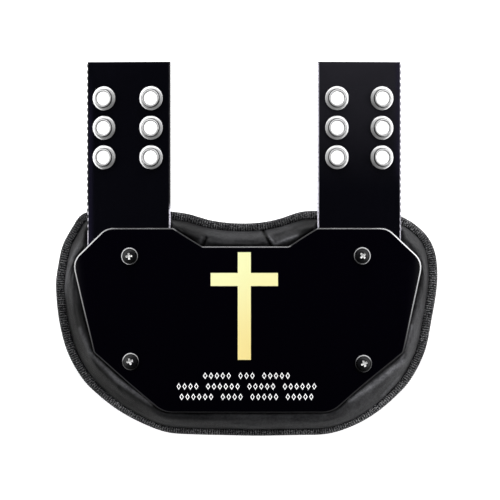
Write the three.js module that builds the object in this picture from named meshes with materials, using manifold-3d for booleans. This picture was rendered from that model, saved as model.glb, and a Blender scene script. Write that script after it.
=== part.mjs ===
// Football back plate: a curved hard plate with a cross on it, screwed over two wide grommeted straps to a
// fabric-covered foam pad whose edge is bound with folded tape.
// Millimetres, +Z up. It lies on its pad with the plate uppermost, +Y runs towards the strap ends and +X to the
// wearer's right. Plate, straps and pad are layers about one axis that runs along Y below the floor.
import * as THREE from 'three';
import { mergeVertices } from 'three/addons/utils/BufferGeometryUtils.js';
import Module from 'manifold-3d';

const wasm = await Module();
wasm.setup();

// Clearances
const fitGap = 0.3; // between pieces that lie on each other
const strapSideGap = 0.8; // between a strap's edges and its channel in the pad
const seatGap = 0.6; // between the plate's edge and the roll of the pad round it

// Plate
const plateRadius = 345; // outer face, about the axis along Y
const plateThickness = 4;
const plateChamfer = 1.2;
const plateLength = 143.5;
const plateWidth = 273; // at the side corners
const plateMargin = 17.5; // lower edge of the pad to lower edge of the plate
const shoulderWidth = 219.2; // across the outer ends of the top edge
const notchWidth = 112.4; // across the mouth of the notch in the top edge
const notchFloorWidth = 67;
const notchDepth = 14.4;
const sideCornerDrop = 26; // below the top edge
const lowerCornerWidth = 241.2;
const lowerCornerDrop = 97.1; // below the top edge
const bottomWidth = 131.8;
const notchFloorRadius = 2;
const notchMouthRadius = 4.7;
const shoulderRadius = 14;
const sideCornerRadius = 14;
const lowerCornerRadius = 4.7;
const bottomRadius = 19.5;

// Straps
const strapWidth = 65.5;
const strapThickness = 3;
const strapSpacing = 180.8; // between the straps' centre lines, seen from above
const strapShift = -2; // of both straps towards +X, along the curve, from the middle between the screws
const strapRise = 112.6; // above the highest point of the pad
const strapTuck = 15; // below the lower screws
const strapTrim = 3; // inside the plate's edge, where the strap is tucked under it

// Grommets
const grommetRows = 3;
const grommetPitch = 23;
const grommetColumnSpacing = 37.3;
const grommetEndMargin = 28.5; // strap end to the first row
const grommetHoleRadius = 5.25;
const grommetWall = 0.75;
const grommetFlangeRadius = 9.1;
const grommetBackRadius = 9.1;
const grommetFlangeHeight = 3.4;
const grommetBackThickness = 1;

// Screws
const screwHeadRadius = 6.75;
const screwHeadHeight = 3.2;
const screwShankRadius = 2.4;
const screwLength = 13; // under the head
const screwTopDrop = 22; // top edge of the plate to the upper screws
const screwBottomRise = 39.1; // bottom edge of the plate to the lower screws
const recessWidth = 6.3;
const recessArm = 1.4;
const recessDepth = 1.9;
const recessTaper = 0.5; // width at the depth of the recess, as a share of that at its mouth
const screwTip = 1.2; // bevel at the end of the shank

// Pad
const padWidth = 298.4;
const padLength = 177.4;
const padUpper = 12; // foam above the middle of the binding
const padLower = 6; // foam below the middle of the binding
const rollHeight = 1.6; // the roll round the plate above the foam under the plate
const sideFlat = 12; // the edge that the floor presses flat, at each side
const padFloorGap = 0.3;

// Binding
const bindingWidth = 8;
const bindingThickness = 6;
const bindingWall = 1.2;
const bindingEdge = 0.9; // bevel along its two outer corners

// Cross
const crossHeight = 83.7;
const crossSpan = 52.4;
const crossBar = 10.2;
const crossArmDrop = 16.1; // top of the cross to the top of its arms
const crossMargin = 4.5; // floor of the notch to the top of the cross
const crossShift = -1.7; // towards +X, along the curve, from the middle of the plate
const crossThickness = 0.5;

// Facets
const padSteps = 20; // across half of the pad
const padSamples = 300;
const strapSteps = 8;
const arcSteps = 4; // in each rounded corner of the plate
const plateStep = 12; // the widest facet across the plate
const plateLeastStep = 0.3;
const ringSides = 12;
const mergeTolerance = 1e-4;
const sharpestMiter = 0.5; // the least cosine that a corner is mitred by

// Edge of the pad from the middle of its top to the middle of its bottom, as seen from above.
// out is a share of half of padWidth, up a share of padLength above the pad's lower edge.
const padEdge = [
  { out: 0, up: 0.923 },
  { out: 0.179, up: 0.94 },
  { out: 0.305, up: 0.97 },
  { out: 0.4, up: 0.981 },
  { out: 0.59, up: 1 },
  { out: 0.842, up: 0.962 },
  { out: 0.906, up: 0.912 },
  { out: 0.968, up: 0.826 },
  { out: 1, up: 0.694 },
  { out: 0.974, up: 0.5 },
  { out: 0.937, up: 0.36 },
  { out: 0.853, up: 0.237 },
  { out: 0.769, up: 0.167 },
  { out: 0.661, up: 0.096 },
  { out: 0.547, up: 0.043 },
  { out: 0.421, up: 0.008 },
  { out: 0.27, up: 0 },
  { out: 0, up: 0 },
];

// Upper side of the pad's edge beyond the binding. over is how far in from the binding as a share of plateMargin,
// and rise a share of the way from the tongue up to the top of the roll, where the plate's seat is then cut.
const rollUpper = [
  { over: 0.02, rise: 0.1 },
  { over: 0.03, rise: 0.45 },
  { over: 0.08, rise: 0.76 },
  { over: 0.18, rise: 0.94 },
  { over: 0.34, rise: 1 },
  { over: 0.8, rise: 1 },
];

// Lower side of the pad's edge, in the same way.
const rollLower = [
  { over: 0.02, rise: 0.25 },
  { over: 0.12, rise: 0.68 },
  { over: 0.35, rise: 0.94 },
  { over: 0.7, rise: 1 },
];

// Front of a grommet from the rim of its flange over the rolled lip to its hole.
// out is a share of the way from hole to rim, up one of its height.
const flangeForm = [
  { out: 1, up: 0 },
  { out: 0.94, up: 0.2 },
  { out: 0.64, up: 0.28 },
  { out: 0.64, up: 0.8 },
  { out: 0.34, up: 1 },
  { out: 0, up: 0.7 },
];

// Head of a screw from its rim to its middle. out is a share of its radius, up one of its height.
const headForm = [
  { out: 1, up: 0 },
  { out: 1, up: 0.3 },
  { out: 0.9, up: 0.4 },
  { out: 0.72, up: 0.78 },
  { out: 0.42, up: 0.96 },
  { out: 0, up: 1 },
];

// Worked out from the sizes above
const bindingHalf = bindingThickness / 2;
const tongueHalf = bindingHalf - bindingWall - fitGap;
const tongueInset = bindingWall + fitGap;
const strapOuterRadius = plateRadius - plateThickness - fitGap;
const strapInnerRadius = strapOuterRadius - strapThickness;
const padMiddleRadius = strapOuterRadius - padUpper;
const contactX = padWidth / 2 - sideFlat;
const axisZ = bindingHalf - Math.sqrt(padMiddleRadius ** 2 - contactX ** 2);
const padBottomY = -(padLength + strapRise) / 2;
const padTopY = padBottomY + padLength;
const strapTopY = padTopY + strapRise;
const plateBottomY = padBottomY + plateMargin;
const plateTopY = plateBottomY + plateLength;
const notchFloorY = plateTopY - notchDepth;
const upperScrewY = plateTopY - screwTopDrop;
const lowerScrewY = plateBottomY + screwBottomRise;
const strapBottomY = lowerScrewY - strapTuck;
const strapAngle = Math.asin(strapSpacing / 2 / strapOuterRadius);
const strapShiftAngle = strapShift / strapOuterRadius;
const grommetBarrelRadius = grommetHoleRadius + grommetWall;

// Materials
const blackGloss = new THREE.MeshStandardMaterial({ color: 0x050507, roughness: 0.12, metalness: 0 });
const strapBlack = new THREE.MeshStandardMaterial({ color: 0x0b0b0f, roughness: 0.2, metalness: 0 });
const plated = new THREE.MeshStandardMaterial({ color: 0xd4d4d6, roughness: 0.18, metalness: 1 });
const screwBlack = new THREE.MeshStandardMaterial({ color: 0x101012, roughness: 0.22, metalness: 0.6 });
const padFabric = new THREE.MeshStandardMaterial({ color: 0x3b3b3e, roughness: 0.7, metalness: 0 });
const bindingKnit = new THREE.MeshStandardMaterial({ color: 0x1c1c1f, roughness: 0.85, metalness: 0 });
const crossYellow = new THREE.MeshStandardMaterial({ color: 0xfdf0a8, roughness: 0.35, metalness: 0 });

/** Height of a layer of the given radius, above the point at x. */
function layerHeight(radius, x) {
  return axisZ + Math.sqrt(Math.max(radius ** 2 - x ** 2, 0));
}

/** Height in the pad at x, lift above the middle of its binding, with the sides pressed flat by the floor. */
function padHeight(lift, x) {
  return Math.max(layerHeight(padMiddleRadius + lift, x), bindingHalf + lift, padFloorGap);
}

/** Height in the binding at x, which rests on the floor itself. */
function bindingHeight(lift, x) {
  return Math.max(layerHeight(padMiddleRadius + lift, x), bindingHalf + lift);
}

/** Place on the curved layers: turned by angle about their axis, at y, at radius from the axis. */
function onLayer(angle, y, radius) {
  return new THREE.Matrix4()
    .makeTranslation(0, 0, axisZ)
    .multiply(new THREE.Matrix4().makeRotationY(angle))
    .multiply(new THREE.Matrix4().makeTranslation(0, y, radius));
}

function solidOf(geometry) {
  const bare = geometry.clone();
  bare.deleteAttribute('normal');
  bare.deleteAttribute('uv');
  const merged = mergeVertices(bare, mergeTolerance);
  return new wasm.Manifold(
    new wasm.Mesh({
      numProp: 3,
      vertProperties: new Float32Array(merged.getAttribute('position').array),
      triVerts: new Uint32Array(merged.getIndex().array),
    }),
  );
}

function geometryOf(solid) {
  const mesh = solid.getMesh();
  const geometry = new THREE.BufferGeometry();
  geometry.setAttribute('position', new THREE.BufferAttribute(Float32Array.from(mesh.vertProperties), 3));
  geometry.setIndex([...mesh.triVerts]);
  geometry.computeVertexNormals();
  return geometry;
}

function cut(geometry, cutters) {
  return geometryOf(cutters.reduce((solid, cutter) => solid.subtract(solidOf(cutter)), solidOf(geometry)));
}

function keep(geometry, region) {
  return geometryOf(solidOf(geometry).intersect(solidOf(region)));
}

function join(geometries) {
  return geometryOf(geometries.map(solidOf).reduce((all, solid) => all.add(solid)));
}

/** Points along an outline whose corners are rounded, from corners with x, y and an optional radius. */
function roundedOutline(corners) {
  return corners.flatMap((corner, i) => {
    const here = new THREE.Vector2(corner.x, corner.y);
    if (!corner.radius) return [here];
    const before = new THREE.Vector2(corners[i - 1].x, corners[i - 1].y).sub(here).normalize();
    const after = new THREE.Vector2(corners[i + 1].x, corners[i + 1].y).sub(here).normalize();
    const halfAngle = Math.acos(before.dot(after)) / 2;
    const reach = corner.radius / Math.tan(halfAngle);
    const start = before.clone().multiplyScalar(reach).add(here);
    const end = after.clone().multiplyScalar(reach).add(here);
    const middle = before.clone().add(after).normalize().multiplyScalar(corner.radius / Math.sin(halfAngle)).add(here);
    const first = start.sub(middle);
    const turn = Math.atan2(first.cross(end.clone().sub(middle)), first.dot(end.clone().sub(middle)));
    return Array.from({ length: arcSteps + 1 }, (_, k) =>
      first.clone().rotateAround(new THREE.Vector2(), (turn * k) / arcSteps).add(middle),
    );
  });
}

/** The upper and lower edge of half an outline, each as y at a distance x from the middle. */
function edgesOf(half) {
  const widest = half.reduce((best, point, i) => (point.x > half[best].x ? i : best), 0);
  const along = (chain, x) => {
    const next = Math.max(1, chain.findIndex((point) => point.x >= x));
    const [a, b] = [chain[next - 1], chain[next]];
    return b.x > a.x ? THREE.MathUtils.lerp(a.y, b.y, (x - a.x) / (b.x - a.x)) : b.y;
  };
  const upper = half.slice(0, widest + 1);
  const lower = half.slice(widest).reverse();
  return { tip: half[widest].x, upperAt: (x) => along(upper, x), lowerAt: (x) => along(lower, x) };
}

/** Closed loop round an outline, clockwise from above, from its left tip, with both edges at the same stations. */
function loopOf(edges, stations) {
  const inner = stations.slice(1, -1);
  const across = [...inner.map((x) => -x).reverse(), stations[0], ...inner];
  const tipY = (edges.upperAt(edges.tip) + edges.lowerAt(edges.tip)) / 2;
  return [
    new THREE.Vector2(-edges.tip, tipY),
    ...across.map((x) => new THREE.Vector2(x, edges.upperAt(Math.abs(x)))),
    new THREE.Vector2(edges.tip, tipY),
    ...across.reverse().map((x) => new THREE.Vector2(x, edges.lowerAt(Math.abs(x)))),
  ];
}

/** The loop moved inward by a distance, square to itself. */
function inset(loop, distance) {
  return loop.map((point, i) => {
    const back = point.clone().sub(loop[(i + loop.length - 1) % loop.length]).normalize();
    const on = loop[(i + 1) % loop.length].clone().sub(point).normalize();
    const along = back.clone().add(on).normalize();
    const spread = distance / Math.max(along.dot(on), sharpestMiter);
    return new THREE.Vector2(point.x + along.y * spread, point.y - along.x * spread);
  });
}

/** A closed body through rings of like points, either capped in strips across or joined end to end. */
function bodyThrough(rings, joined) {
  const count = rings[0].length;
  const half = count / 2;
  const points = rings.flat();
  const index = [];
  const last = rings.length - (joined ? 0 : 1);
  for (let r = 0; r < last; r += 1) {
    const low = r * count;
    const high = ((r + 1) % rings.length) * count;
    for (let k = 0; k < count; k += 1) {
      const next = (k + 1) % count;
      const [a, b, c, d] = [low + k, high + k, high + next, low + next];
      // The lower of the two diagonals, so that two layers a gap apart fold alike
      const straight = points[a].z + points[c].z <= points[b].z + points[d].z;
      index.push(...(straight ? [a, b, c, a, c, d] : [a, b, d, b, c, d]));
    }
  }
  const cap = (start, up) => {
    const add = (a, b, c) => index.push(start + a, start + (up ? b : c), start + (up ? c : b));
    add(0, count - 1, 1);
    for (let k = 1; k < half - 1; k += 1) {
      add(k, count - k, count - k - 1);
      add(k, count - k - 1, k + 1);
    }
    add(half - 1, half + 1, half);
  };
  if (!joined) {
    cap(0, false);
    cap((rings.length - 1) * count, true);
  }
  const geometry = new THREE.BufferGeometry();
  geometry.setAttribute('position', new THREE.Float32BufferAttribute(points.flatMap((p) => p.toArray()), 3));
  geometry.setIndex(index);
  geometry.computeVertexNormals();
  return geometry;
}

function ringAt(loop, height) {
  return loop.map((point) => new THREE.Vector3(point.x, point.y, height(point.x)));
}

/** The part of the layers between two radii that lies inside a loop. */
function layerWithin(loop, lowRadius, highRadius) {
  return bodyThrough([lowRadius, highRadius].map((radius) => ringAt(loop, (x) => layerHeight(radius, x))));
}

/** A bent bar between two radii, across the given angles, from one y to another. */
function bentBar(angles, innerRadius, outerRadius, fromY, toY) {
  const shape = new THREE.Shape([
    ...angles.map((a) => new THREE.Vector2(outerRadius * Math.sin(a), outerRadius * Math.cos(a))),
    ...[...angles].reverse().map((a) => new THREE.Vector2(innerRadius * Math.sin(a), innerRadius * Math.cos(a))),
  ]);
  const geometry = new THREE.ExtrudeGeometry(shape, { depth: toY - fromY, bevelEnabled: false });
  return geometry.rotateX(Math.PI / 2).translate(0, toY, axisZ);
}

function anglesAcross(centre, halfAngle, steps) {
  return Array.from({ length: steps + 1 }, (_, k) => centre + halfAngle * ((2 * k) / steps - 1));
}

/** A round cutter along the normal of the layers. */
function holeCutter(radius, sides, angle, y, lowRadius, highRadius) {
  return new THREE.CylinderGeometry(radius, radius, highRadius - lowRadius, sides)
    .rotateX(Math.PI / 2)
    .applyMatrix4(onLayer(angle, y, (lowRadius + highRadius) / 2));
}

function lathed(profile) {
  const points = [...profile, profile[0]].map(([radius, height]) => new THREE.Vector2(radius, height));
  return new THREE.LatheGeometry(points, ringSides).rotateX(Math.PI / 2);
}

function named(name, geometry, material) {
  const mesh = new THREE.Mesh(geometry, material);
  mesh.name = name;
  return mesh;
}

const screwSeats = [
  { level: 'upper', y: upperScrewY },
  { level: 'lower', y: lowerScrewY },
];
const sides = [
  { side: 'left', sign: -1 },
  { side: 'right', sign: 1 },
];

// Turn of each Phillips recess, as the photographed screws were left
const recessTurns = { left: { upper: 5, lower: 18 }, right: { upper: 42, lower: 22 } };

/** Holes for the four screws, in the layer between two radii. */
function screwHoles(lowRadius, highRadius) {
  return sides.flatMap(({ sign }) =>
    screwSeats.map(({ y }) =>
      holeCutter(screwShankRadius + fitGap, ringSides, sign * strapAngle, y, lowRadius, highRadius),
    ),
  );
}

/** Loop round the outside of the plate, as seen from above. */
function plateLoop() {
  const half = roundedOutline([
    { x: 0, y: notchFloorY },
    { x: notchFloorWidth / 2, y: notchFloorY, radius: notchFloorRadius },
    { x: notchWidth / 2, y: plateTopY, radius: notchMouthRadius },
    { x: shoulderWidth / 2, y: plateTopY, radius: shoulderRadius },
    { x: plateWidth / 2, y: plateTopY - sideCornerDrop, radius: sideCornerRadius },
    { x: lowerCornerWidth / 2, y: plateTopY - lowerCornerDrop, radius: lowerCornerRadius },
    { x: bottomWidth / 2, y: plateBottomY, radius: bottomRadius },
    { x: 0, y: plateBottomY },
  ]);
  const edges = edgesOf(half);
  const wanted = [...new Set(half.map((point) => point.x))].sort((a, b) => a - b);
  const spaced = wanted.filter((x, i) => i === 0 || x === edges.tip || x - wanted[i - 1] > plateLeastStep);
  const stations = spaced.flatMap((x, i) => {
    const parts = i + 1 < spaced.length ? Math.ceil((spaced[i + 1] - x) / plateStep) : 1;
    return Array.from({ length: parts }, (_, k) => THREE.MathUtils.lerp(x, spaced[i + 1] ?? x, k / parts));
  });
  return loopOf(edges, stations);
}

function makePlate() {
  const loop = plateLoop();
  const face = inset(loop, plateChamfer);
  const plate = bodyThrough([
    ringAt(loop, (x) => layerHeight(plateRadius - plateThickness, x)),
    ringAt(loop, (x) => layerHeight(plateRadius, x) - plateChamfer),
    ringAt(face, (x) => layerHeight(plateRadius, x)),
  ]);
  const holes = screwHoles(plateRadius - 2 * plateThickness, plateRadius + plateThickness);
  return named('back_plate', cut(plate, holes), blackGloss);
}

function makeCross() {
  const low = plateRadius + fitGap;
  const high = low + crossThickness;
  const top = notchFloorY - crossMargin;
  const barAngle = Math.asin(crossBar / 2 / high);
  const spanAngle = Math.asin(crossSpan / 2 / high);
  const armMiddle = (barAngle + spanAngle) / 2;
  const middle = crossShift / high;
  const bar = [middle - barAngle, middle, middle + barAngle];
  const arms = [middle - spanAngle, middle - armMiddle, ...bar, middle + armMiddle, middle + spanAngle];
  const upright = bentBar(bar, low, high, top - crossHeight, top);
  const beam = bentBar(arms, low, high, top - crossArmDrop - crossBar, top - crossArmDrop);
  return named('cross_decal', join([upright, beam]), crossYellow);
}

const grommetColumns = [
  { column: 'inner', share: -0.5 },
  { column: 'outer', share: 0.5 },
];
const rowNames = ['top', 'middle', 'bottom'];

/** Angle and height of every grommet of one strap, with its name. */
function grommetPlaces(side, sign) {
  return Array.from({ length: grommetRows }, (_, row) =>
    grommetColumns.map(({ column, share }) => ({
      name: `grommet_${side}_${rowNames[row] ?? row}_${column}`,
      angle: strapShiftAngle + sign * (strapAngle + (share * grommetColumnSpacing) / strapOuterRadius),
      y: strapTopY - grommetEndMargin - row * grommetPitch,
    })),
  ).flat();
}

/** A strap's form between two radii, grown by extra: a bent bar, trimmed inside the plate's edge where it is tucked. */
function strapForm(sign, extra, lowRadius, highRadius) {
  const middle = strapShiftAngle + sign * strapAngle;
  const angles = anglesAcross(middle, (strapWidth / 2 + extra) / strapOuterRadius, strapSteps);
  const bare = bentBar(angles, lowRadius, highRadius, upperScrewY, strapTopY + extra);
  const tucked = bentBar(angles, lowRadius, highRadius, strapBottomY - extra, upperScrewY);
  const covered = layerWithin(inset(plateLoop(), strapTrim - extra), lowRadius - fitGap, highRadius + fitGap);
  return join([bare, keep(tucked, covered)]);
}

function makeStrap(side, sign) {
  const blank = strapForm(sign, 0, strapInnerRadius, strapOuterRadius);
  const low = strapInnerRadius - strapThickness;
  const high = strapOuterRadius + strapThickness;
  const grommetHoles = grommetPlaces(side, sign).map(({ angle, y }) =>
    holeCutter(grommetBarrelRadius + fitGap, ringSides, angle, y, low, high),
  );
  return named(`strap_${side}`, cut(blank, [...grommetHoles, ...screwHoles(low, high)]), strapBlack);
}

/** One grommet, its flanges on both faces of the strap; height 0 is the strap's outer face. */
function makeGrommets(side, sign) {
  const back = -strapThickness - fitGap;
  const flange = flangeForm.map(({ out, up }) => [
    THREE.MathUtils.lerp(grommetHoleRadius, grommetFlangeRadius, out),
    fitGap + grommetFlangeHeight * up,
  ]);
  const geometry = lathed([
    [grommetHoleRadius, back],
    [grommetBarrelRadius, back - grommetBackThickness],
    [grommetBackRadius, back - grommetBackThickness],
    [grommetBackRadius, back],
    [grommetBarrelRadius, back],
    [grommetBarrelRadius, fitGap],
    ...flange,
  ]);
  return grommetPlaces(side, sign).map(({ name, angle, y }) => {
    const mesh = named(name, geometry, plated);
    mesh.position.setFromMatrixPosition(onLayer(angle, y, strapOuterRadius));
    mesh.rotation.y = angle;
    return mesh;
  });
}

/** One arm of the Phillips recess, narrowing downward. */
function recessArmCutter(turn) {
  const mouth = recessWidth / 2;
  const arm = new THREE.CylinderGeometry(mouth, mouth * recessTaper, 2 * recessDepth, 4, 1, false, Math.PI / 4);
  arm.rotateX(Math.PI / 2).scale(Math.SQRT2, (Math.SQRT2 * recessArm) / recessWidth, 1);
  return arm.rotateZ(turn).translate(0, 0, screwHeadHeight + fitGap);
}

function makeScrew(side, sign, level, y) {
  const blank = lathed([
    [0, -screwLength],
    [screwShankRadius - screwTip, -screwLength],
    [screwShankRadius, screwTip - screwLength],
    [screwShankRadius, fitGap],
    ...headForm.map(({ out, up }) => [screwHeadRadius * out, fitGap + screwHeadHeight * up]),
  ]);
  const turn = THREE.MathUtils.degToRad(recessTurns[side][level]);
  const mesh = named(
    `screw_${side}_${level}`,
    cut(blank, [recessArmCutter(turn), recessArmCutter(turn + Math.PI / 2)]),
    screwBlack,
  );
  mesh.position.setFromMatrixPosition(onLayer(sign * strapAngle, y, plateRadius));
  mesh.rotation.y = sign * strapAngle;
  return mesh;
}

/** Loop round the outside of the pad's binding, as seen from above. */
function padLoop() {
  const right = padEdge.map(({ out, up }) => new THREE.Vector3((out * padWidth) / 2, padBottomY + up * padLength, 0));
  const left = right.slice(1, -1).reverse().map((p) => new THREE.Vector3(-p.x, p.y, 0));
  const curve = new THREE.CatmullRomCurve3([...right, ...left], true, 'centripetal');
  const round = curve.getSpacedPoints(2 * padSamples);
  const half = round.slice(0, padSamples + 1).map((p) => new THREE.Vector2(Math.max(p.x, 0), p.y));
  const edges = edgesOf(half);
  const stations = Array.from({ length: padSteps + 1 }, (_, k) => edges.tip * Math.sin((k / padSteps) * (Math.PI / 2)));
  return loopOf(edges, stations);
}

function makePad() {
  const loop = padLoop();
  const beyond = bindingWidth + fitGap;
  const ring = (distance, lift) => ringAt(inset(loop, distance), (x) => padHeight(lift, x));
  const upper = rollUpper.map(({ over, rise }) =>
    ring(beyond + over * plateMargin, THREE.MathUtils.lerp(tongueHalf, padUpper + rollHeight, rise)),
  );
  const lower = rollLower.map(({ over, rise }) =>
    ring(beyond + over * plateMargin, -THREE.MathUtils.lerp(tongueHalf, padLower, rise)),
  );
  const tongue = [ring(beyond, -tongueHalf), ring(tongueInset, -tongueHalf), ring(tongueInset, tongueHalf)];
  const blank = bodyThrough([...lower.reverse(), ...tongue, ring(beyond, tongueHalf), ...upper]);
  const clear = plateRadius + plateThickness + rollHeight;
  const channels = sides.map(({ sign }) => strapForm(sign, strapSideGap, strapInnerRadius - fitGap, clear));
  const seat = layerWithin(inset(plateLoop(), -seatGap), strapOuterRadius, clear);
  const holes = screwHoles(plateRadius - screwLength - fitGap, clear);
  return named('pad', cut(blank, [seat, ...channels, ...holes]), padFabric);
}

function makeBinding() {
  const loop = padLoop();
  const section = [
    { distance: bindingWidth, lift: -bindingHalf },
    { distance: bindingEdge, lift: -bindingHalf },
    { distance: 0, lift: bindingEdge - bindingHalf },
    { distance: 0, lift: bindingHalf - bindingEdge },
    { distance: bindingEdge, lift: bindingHalf },
    { distance: bindingWidth, lift: bindingHalf },
    { distance: bindingWidth, lift: bindingHalf - bindingWall },
    { distance: bindingWall, lift: bindingHalf - bindingWall },
    { distance: bindingWall, lift: bindingWall - bindingHalf },
    { distance: bindingWidth, lift: bindingWall - bindingHalf },
  ];
  const rings = section.map(({ distance, lift }) => ringAt(inset(loop, distance), (x) => bindingHeight(lift, x)));
  return named('pad_binding', bodyThrough(rings, true), bindingKnit);
}

const backPlate = new THREE.Group();
backPlate.name = 'football_back_plate';
backPlate.add(makePad(), makeBinding(), makePlate(), makeCross());
sides.forEach(({ side, sign }) => {
  backPlate.add(makeStrap(side, sign), ...makeGrommets(side, sign));
  screwSeats.forEach(({ level, y }) => backPlate.add(makeScrew(side, sign, level, y)));
});

export default backPlate;
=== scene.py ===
"""Looks of a football back plate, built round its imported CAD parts.

The plate, straps, grommets, screws, pad and binding are remade here as fine meshes with their finishes.
Sizes are in metres, +Z is up and out of the plate's face, and +Y runs towards the strap ends.
"""

import logging
import math
from dataclasses import dataclass, field
from enum import Enum
from typing import Callable, NamedTuple, Optional, Sequence

import bmesh
import bpy
from mathutils import Euler, Matrix, Vector, noise


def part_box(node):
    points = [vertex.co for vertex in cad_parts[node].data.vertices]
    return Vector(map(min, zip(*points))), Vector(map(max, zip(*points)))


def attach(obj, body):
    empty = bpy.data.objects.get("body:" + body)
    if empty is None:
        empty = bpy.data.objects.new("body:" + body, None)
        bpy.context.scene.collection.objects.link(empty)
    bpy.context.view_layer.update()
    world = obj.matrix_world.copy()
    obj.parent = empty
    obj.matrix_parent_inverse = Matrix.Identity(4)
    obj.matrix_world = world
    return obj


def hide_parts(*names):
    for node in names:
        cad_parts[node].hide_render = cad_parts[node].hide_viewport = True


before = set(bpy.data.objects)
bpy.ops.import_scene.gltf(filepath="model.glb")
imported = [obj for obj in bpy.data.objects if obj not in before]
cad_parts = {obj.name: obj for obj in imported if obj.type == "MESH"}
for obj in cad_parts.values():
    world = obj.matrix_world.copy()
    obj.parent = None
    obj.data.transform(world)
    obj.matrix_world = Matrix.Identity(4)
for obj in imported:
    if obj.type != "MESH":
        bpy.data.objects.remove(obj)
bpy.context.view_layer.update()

LOG = logging.getLogger("back_plate")
Piece = bpy.types.Object
Finish = bpy.types.Material
Vert = bmesh.types.BMVert
Points = Sequence[Vector]
Height = Callable[[float, float], float]
MM = 0.001
BODY = "root"
MERGE = 1e-7
SHARPEST_CORNER = 0.5


class Side(Enum):
    """The two halves of the part, with the sign of their x."""

    LEFT = -1
    RIGHT = 1


class Level(Enum):
    """The two rows of screws."""

    UPPER = "upper"
    LOWER = "lower"


class Slot(Enum):
    """The record's material slots."""

    PLATE = "plate"
    CROSS = "cross_print"
    STRAP = "strap"
    FABRIC = "pad_fabric"
    BINDING = "binding"
    GROMMET = "grommet"
    SCREW = "screw"


class Spot(NamedTuple):
    """A point seen from above."""

    x: float
    y: float


class Corner(NamedTuple):
    """A corner of an outline, rounded where it has a radius."""

    x: float
    y: float
    radius: float = 0.0


class EdgeRow(NamedTuple):
    """A point on the pad's edge, as shares of half its width and of its length."""

    out: float
    up: float


class Nudge(NamedTuple):
    """A soft pull on an outline, which fades with the distance from its middle."""

    x: float
    y: float
    reach: float
    dx: float
    dy: float = 0.0


class Crease(NamedTuple):
    """A dent, or a bump where depth is negative, along a line on the fabric."""

    x0: float
    y0: float
    x1: float
    y1: float
    depth: float
    width: float


def smooth_step(low: float, high: float, value: float) -> float:
    """Share from 0 to 1 of the way from low to high, eased at both ends."""
    share = min(max((value - low) / (high - low), 0.0), 1.0)
    return share * share * (3 - 2 * share)


def soft_max(a: float, b: float, blend: float) -> float:
    """The larger of two numbers, rounded off where they come within blend of each other."""
    near = max(blend - abs(a - b), 0.0) / blend
    return max(a, b) + near * near * blend / 4


def lerp(a: float, b: float, share: float) -> float:
    """The number a share of the way from a to b."""
    return a + (b - a) * share


@dataclass(frozen=True)
class Layers:
    """The curved layers, which share one axis along Y below the floor."""

    axis_z: float
    plate: float = 0.345
    strap: float = 0.3407
    strap_wall: float = 0.003
    pad: float = 0.3287
    binding_half: float = 0.003
    floor_gap: float = 0.0003
    floor_blend: float = 0.004

    def height(self, radius: float, x: float) -> float:
        """Height of the layer of that radius, above the point at x."""
        return self.axis_z + math.sqrt(max(radius * radius - x * x, 0.0))

    def pad_height(self, lift: float, x: float) -> float:
        """Height in the pad, lift above the middle of its binding.

        Args:
            lift: Distance above the middle of the binding.
            x: Distance from the middle plane.

        Returns:
            The height, with the sides pressed flat by the floor.
        """
        pressed = max(self.binding_half + lift, self.floor_gap)
        return soft_max(self.height(self.pad + lift, x), pressed, self.floor_blend)

    def binding_height(self, lift: float, x: float) -> float:
        """Height in the binding, which rests on the floor itself."""
        return soft_max(self.height(self.pad + lift, x), self.binding_half + lift, self.floor_blend)

    def radius_at(self, x: float, z: float) -> float:
        """Distance of a point from the axis."""
        return math.hypot(x, z - self.axis_z)

    def turned(self, angle: float, y: float, radius: float) -> Matrix:
        """Place on the layers: turned by an angle about their axis, at y, at a radius."""
        about = Matrix.Rotation(angle, 4, "Y")
        return Matrix.Translation((0, 0, self.axis_z)) @ about @ Matrix.Translation((0, y, radius))


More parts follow.
